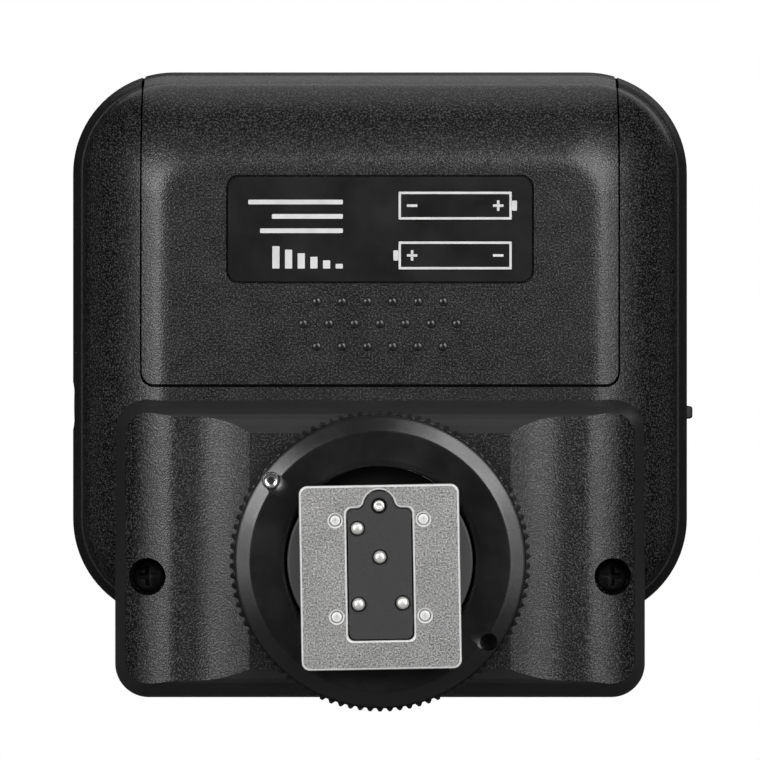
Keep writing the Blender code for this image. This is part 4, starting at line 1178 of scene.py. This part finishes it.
dial = face_piece("select_dial_fine", dial_mesh(), DIALMAT, 0, DIAL_V, smooth=42)
stands_for(dial, "select_dial", "key_rubber", "select_dial")
arrows = []
for k in range(4):
    turn = Matrix.Rotation(math.pi / 2 * k, 4, "Z")
    arrows.append(moved(prism([(-0.55, 5.75), (0.55, 5.75), (0.0, 6.45)], 1.4, 1.475), on_face(0, DIAL_V) @ turn))
mark("dial_arrows", arrows, "select_dial")
set_button = face_piece(
    "set_button_fine",
    turned(
        [(0, -3.6), (3.85, -3.6), (3.85, 0.95)]
        + [(3.45 + 0.4 * math.cos(a), 0.98 + 0.4 * math.sin(a)) for a in (math.radians(d) for d in (18, 36, 54, 72, 90))]
        + [(2.9, 1.34), (2.0, 1.22), (1.0, 1.15), (0, 1.13)],
        64,
    ),
    KEY,
    0,
    DIAL_V,
    smooth=40,
)
stands_for(set_button, "set_button", "key_rubber", "set_button")
mark("set_button_print", [moved(washer(0.0001, 0.5, 1.13, 1.165), on_face(0, DIAL_V))], "set_button")

# ---------------------------------------------------------------- side controls and sockets

rib_rings = []
for k, (x, w, h) in enumerate(((-34.2, 0.8, 2.2), (-37.0, 0.8, 2.2), (-37.45, 0.76, 2.12), (-37.68, 0.66, 2.0), (-37.75, 0.5, 1.82))):
    rib_rings.append([(x, SWITCH_Y + s, SWITCH_Z + t) for s, t in rrect(-w, w, -h, h, 0.28, 5)])
cap = build(
    "power_switch_cap_fine",
    loft(rib_rings),
    KEY,
    joins=[
        box(-34.8, -34.0, SWITCH_Y - 3.6, SWITCH_Y + 3.6, SWITCH_Z - 3.1, SWITCH_Z + 2.9),
        box(-34.4, -32.9, SWITCH_Y - 0.7, SWITCH_Y + 0.7, SWITCH_Z - 2.6, SWITCH_Z - 1.2),
    ],
    cuts=[box(-38.5, -37.5, SWITCH_Y - 2, SWITCH_Y + 2, SWITCH_Z + d - 0.13, SWITCH_Z + d + 0.13) for d in (-1.2, -0.4, 0.4, 1.2)],
    bevel=0.05,
    segments=2,
)
stands_for(cap, "power_switch_cap", "key_rubber", "power_switch_cap")

AT_USB, AT_SYNC = at(0, USB_Y, USB_Z) @ ACROSS, at(0, SYNC_Y, SYNC_Z) @ ACROSS
usb = build(
    "usb_port_fine",
    moved(prism(rrect(-1.6, 1.6, -4.5, 4.5, 1.35, 10), 30.6, 36.7), AT_USB),
    NICKEL,
    cuts=[moved(prism(rrect(-1.3, 1.3, -4.2, 4.2, 1.15, 10), 31.2, 40), AT_USB)],
    bevel=0.06,
    segments=2,
)
stands_for(usb, "housing", "plated_steel", "usb_port")
tongue = build("usb_tongue", box(31.0, 35.9, USB_Y - 3.3, USB_Y + 3.3, USB_Z - 0.33, USB_Z + 0.33), INSIDE, bevel=0.12)
extra(tongue, "housing")
pads = [box(33.6, 35.6, USB_Y - 2.75 + 0.5 * k - 0.12, USB_Y - 2.75 + 0.5 * k + 0.12, USB_Z + s * 0.33 - 0.03, USB_Z + s * 0.33 + 0.03) for k in range(12) for s in (-1, 1)]
extra(build("usb_contacts", together(*pads), GOLD), "housing")
sync = build(
    "sync_jack_fine",
    box(30.6, 34.4, SYNC_Y - 3.6, SYNC_Y + 3.6, SYNC_Z - 2.8, SYNC_Z + 2.5),
    SMOOTH,
    joins=[moved(rod(2.65, 34.0, 36.8, 64), AT_SYNC)],
    cuts=[moved(turned([(0, 31.4), (1.3, 31.4), (1.3, 36.6), (1.5, 36.85), (1.5, 40), (0, 40)], 48), AT_SYNC)],
    bevel=0.12,
)
stands_for(sync, "housing", "label_gloss", "sync_jack")
liner = build("sync_liner", moved(turned([(1.29, 31.6), (1.29, 36.2), (1.18, 36.2), (1.18, 31.6)], 48), AT_SYNC), NICKEL)
extra(liner, "housing")

# ---------------------------------------------------------------- cells and battery contacts

CELL_R, CELL_LEN, CELL_Z = 7.1, 49.2, 26.9
NUB_R, NUB_LEN, CELL_TIP = 2.75, 1.3, 26.6
for k, (y, way) in enumerate(((29.0, 1), (44.0, -1)), 1):
    lay = at(0, y, CELL_Z) @ Matrix.Rotation(math.radians(90 * way), 4, "Y")
    base, top = CELL_TIP - NUB_LEN - CELL_LEN, CELL_TIP - NUB_LEN
    can = build(
        f"cell_can_{k}",
        moved(
            turned(
                [(0, base + 0.18), (2.2, base + 0.16), (5.0, base + 0.05), (5.7, base), (6.25, base + 0.1), (6.3, base + 0.35), (6.3, top - 0.3), (6.1, top - 0.12)]
                + [(3.4, top - 0.1), (2.95, top - 0.02)]
                + [(NUB_R, top + 0.1), (NUB_R, CELL_TIP - 0.35), (NUB_R - 0.1, CELL_TIP - 0.12), (NUB_R - 0.4, CELL_TIP), (0, CELL_TIP)],
                72,
            ),
            lay,
        ),
        NICKEL,
        smooth=32,
    )
    stands_for(can, "housing", "cell_wrap", f"battery_{k}")

    def sleeve(z0, z1, r0=CELL_R - 0.5, r1=CELL_R):
        return turned([(r0, z0), (r1 - 0.12, z0), (r1, z0 + 0.12), (r1, z1 - 0.12), (r1 - 0.12, z1), (r0, z1)], 72)

    wrap = build(f"cell_wrap_{k}", moved(together(sleeve(base + 0.25, top - 13.0), turned([(6.0, base + 0.2), (6.6, base + 0.16), (6.98, base + 0.3), (CELL_R - 0.02, base + 0.6), (6.0, base + 0.6)], 72)), lay), WRAP, smooth=32)
    extra(wrap, "housing")
    band = build(f"cell_band_{k}", moved(together(sleeve(top - 13.0, top - 0.55), turned([(6.0, top - 0.65), (CELL_R - 0.02, top - 0.65), (6.95, top - 0.35), (6.5, top - 0.2), (6.0, top - 0.24)], 72)), lay), WRAP_BAND, smooth=32)
    extra(band, "housing")
    end = -way * (27.6 - 0.65 - 0.6)
    coil = moved(
        swept(helix(1.9, 3.6, 2.1, 2.5, 32), 0.28, 12),
        at(end + way * 2.1, y, CELL_Z) @ Matrix.Rotation(math.radians(-90 * way), 4, "Y"),
    )
    stands_for(build(f"battery_spring_fine_{k}", coil, WIRE, smooth=60), "housing", "spring_wire", f"battery_spring_{k}")


def contact_leaf(name, side, y0, y1, node):
    x0, x1 = sorted((side * 26.95, side * 27.3))
    outline = rrect(y0, y1, CELL_Z - 4.2, CELL_Z + 4.2, 0.6, 6)
    leaf = build(name, loft([[(x, y, z) for y, z in outline] for x in (x0, x1)]), STRIP, bevel=0.08, segments=2)
    return stands_for(leaf, "housing", "contact_strip", node)


contact_leaf("battery_bridge_fine", 1, 24.6, 48.4, "battery_bridge")
contact_leaf("battery_contact_fine_1", -1, 24.6, 33.4, "battery_contact_1")
contact_leaf("battery_contact_fine_2", -1, 39.6, 48.4, "battery_contact_2")

# ---------------------------------------------------------------- CAD nodes that stay, with finer finishes

KEPT = {
    "main_board": BOARD,
    "contact_board": BOARD,
    "backlight_panel": LABEL,
    "dial_encoder": INSIDE,
    "antenna": GOLD,
    "power_switch_body": STRIP,
    "case_screw_1": NICKEL,
    "case_screw_2": NICKEL,
    "post_screw_1": NICKEL,
    "post_screw_2": NICKEL,
}
for name, finish in KEPT.items():
    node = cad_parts[name]
    if not node.material_slots:
        node.data.materials.append(finish)
    for slot in node.material_slots:
        slot.material = finish

# ---------------------------------------------------------------- stage: floor, lights, world, camera


def stage_floor():
    mesh = bpy.data.meshes.new("floor")
    half, z = 0.9, -0.00056
    mesh.from_pydata([(-half, -half, z), (half, -half, z), (half, half, z), (-half, half, z)], [], [(0, 1, 2, 3)])
    made = bpy.data.objects.new("floor", mesh)
    scene.collection.objects.link(made)
    mat = bpy.data.materials.new("floor_matte")
    mat.use_nodes = True
    tree = mat.node_tree
    tree.nodes.clear()
    out = tree.nodes.new("ShaderNodeOutputMaterial")
    diffuse = tree.nodes.new("ShaderNodeBsdfDiffuse")
    diffuse.inputs["Color"].default_value = (0.86, 0.86, 0.86, 1)
    clear = tree.nodes.new("ShaderNodeBsdfTransparent")
    mix = tree.nodes.new("ShaderNodeMixShader")
    path = tree.nodes.new("ShaderNodeLightPath")
    geometry = tree.nodes.new("ShaderNodeNewGeometry")
    front_side = tree.nodes.new("ShaderNodeMath")
    front_side.operation = "SUBTRACT"
    front_side.use_clamp = True
    tree.links.new(path.outputs["Is Camera Ray"], front_side.inputs[0])
    tree.links.new(geometry.outputs["Backfacing"], front_side.inputs[1])
    length = tree.nodes.new("ShaderNodeVectorMath")
    length.operation = "LENGTH"
    tree.links.new(geometry.outputs["Position"], length.inputs[0])
    fade = tree.nodes.new("ShaderNodeMapRange")
    fade.interpolation_type = "SMOOTHERSTEP"
    fade.inputs["From Min"].default_value = 0.09
    fade.inputs["From Max"].default_value = 0.42
    fade.inputs["To Min"].default_value = 1.0
    fade.inputs["To Max"].default_value = 0.0
    tree.links.new(length.outputs["Value"], fade.inputs["Value"])
    shown = tree.nodes.new("ShaderNodeMath")
    shown.operation = "MULTIPLY"
    tree.links.new(front_side.outputs[0], shown.inputs[0])
    tree.links.new(fade.outputs["Result"], shown.inputs[1])
    tree.links.new(shown.outputs[0], mix.inputs["Fac"])
    tree.links.new(clear.outputs[0], mix.inputs[1])
    tree.links.new(diffuse.outputs[0], mix.inputs[2])
    tree.links.new(mix.outputs[0], out.inputs["Surface"])
    mesh.materials.append(mat)


stage_floor()


def softbox(name, place, power, w, h, target=(0.0, 0.02, 0.02)):
    light = bpy.data.lights.new(name, "AREA")
    light.shape = "RECTANGLE"
    light.size, light.size_y = w, h
    light.energy = power
    made = bpy.data.objects.new(name, light)
    made.location = place
    made.rotation_euler = (Vector(target) - Vector(place)).to_track_quat("-Z", "Y").to_euler()
    made.visible_camera = False
    scene.collection.objects.link(made)
    return made


def around(name, azimuth, off_axis, radiance, w, h, distance=0.65):
    """A softbox at an azimuth from +X, a number of degrees away from straight below, w across and h outwards."""
    a, p = math.radians(azimuth), math.radians(off_axis)
    place = (distance * math.sin(p) * math.cos(a), 0.02 + distance * math.sin(p) * math.sin(a), 0.02 - distance * math.cos(p))
    return softbox(name, place, radiance * math.pi * w * h, w, h)


# low strips either side of the foot, for the soft glints on the sloping flanks
around("strip_left", 26, 31, 12.3, 0.16, 0.19)
around("strip_left_wide", 358, 32, 3.0, 0.19, 0.19)
around("strip_right", 137, 30, 8.6, 0.32, 0.19)
around("strip_right_wide", 182, 32, 3.4, 0.19, 0.19)
# past the lens side, a little above the table
around("lens_side", 90, 98, 0.75, 0.6, 0.5)
# sides and above, for the walls and the control face
around("key_above", 105, 137, 0.7, 1.0, 0.3)
around("rear_side", 270, 100, 0.25, 0.5, 0.25)
# a wide overhead panel for the table and the upper faces; kept out of mirror-like reflections
overhead = softbox("overhead", (0.0, 0.0, 0.9), 26.0, 1.2, 1.2)
overhead.visible_glossy = False
around("side_left", 0, 100, 0.10, 0.7, 0.3)
around("side_right", 180, 100, 0.10, 0.7, 0.3)


GLOW = ((-1.0, 0.05), (-0.93, 0.07), (-0.84, 0.22), (-0.62, 0.26), (-0.42, 0.05), (0.0, 0.03), (0.85, 0.012))


def stage_world():
    world = bpy.data.worlds.new("studio")
    world.use_nodes = True
    scene.world = world
    tree = world.node_tree
    tree.nodes.clear()
    out = tree.nodes.new("ShaderNodeOutputWorld")
    seen = tree.nodes.new("ShaderNodeBackground")
    seen.inputs["Color"].default_value = (1, 1, 1, 1)
    seen.inputs["Strength"].default_value = 1.0
    ambient = tree.nodes.new("ShaderNodeBackground")
    ambient.inputs["Color"].default_value = (1, 1, 1, 1)
    # the room: a soft glow from straight below, dim at the horizon and dimmer overhead
    spot = tree.nodes.new("ShaderNodeTexCoord")
    parts = tree.nodes.new("ShaderNodeSeparateXYZ")
    tree.links.new(spot.outputs["Generated"], parts.inputs[0])
    height = tree.nodes.new("ShaderNodeMapRange")
    height.inputs["From Min"].default_value = -1.0
    tree.links.new(parts.outputs["Z"], height.inputs["Value"])
    glow = tree.nodes.new("ShaderNodeValToRGB")
    for _ in range(5):
        glow.color_ramp.elements.new(0.5)
    for element, (at_z, value) in zip(glow.color_ramp.elements, GLOW):
        element.position = (at_z + 1) / 2
        element.color = (value, value, value, 1)
    tree.links.new(height.outputs["Result"], glow.inputs["Fac"])
    tree.links.new(glow.outputs["Color"], ambient.inputs["Strength"])
    path = tree.nodes.new("ShaderNodeLightPath")
    mix = tree.nodes.new("ShaderNodeMixShader")
    tree.links.new(path.outputs["Is Camera Ray"], mix.inputs["Fac"])
    tree.links.new(ambient.outputs[0], mix.inputs[1])
    tree.links.new(seen.outputs[0], mix.inputs[2])
    tree.links.new(mix.outputs[0], out.inputs["Surface"])


stage_world()

camera_data = bpy.data.cameras.new("camera")
camera_data.sensor_width = 36.0
camera_data.lens = 287.1
camera_data.clip_start = 0.01
camera = bpy.data.objects.new("camera", camera_data)
camera.location = (0.0, 0.0211, -0.7)
camera.rotation_euler = (0.0, math.pi, 0.0)
scene.collection.objects.link(camera)
scene.camera = camera
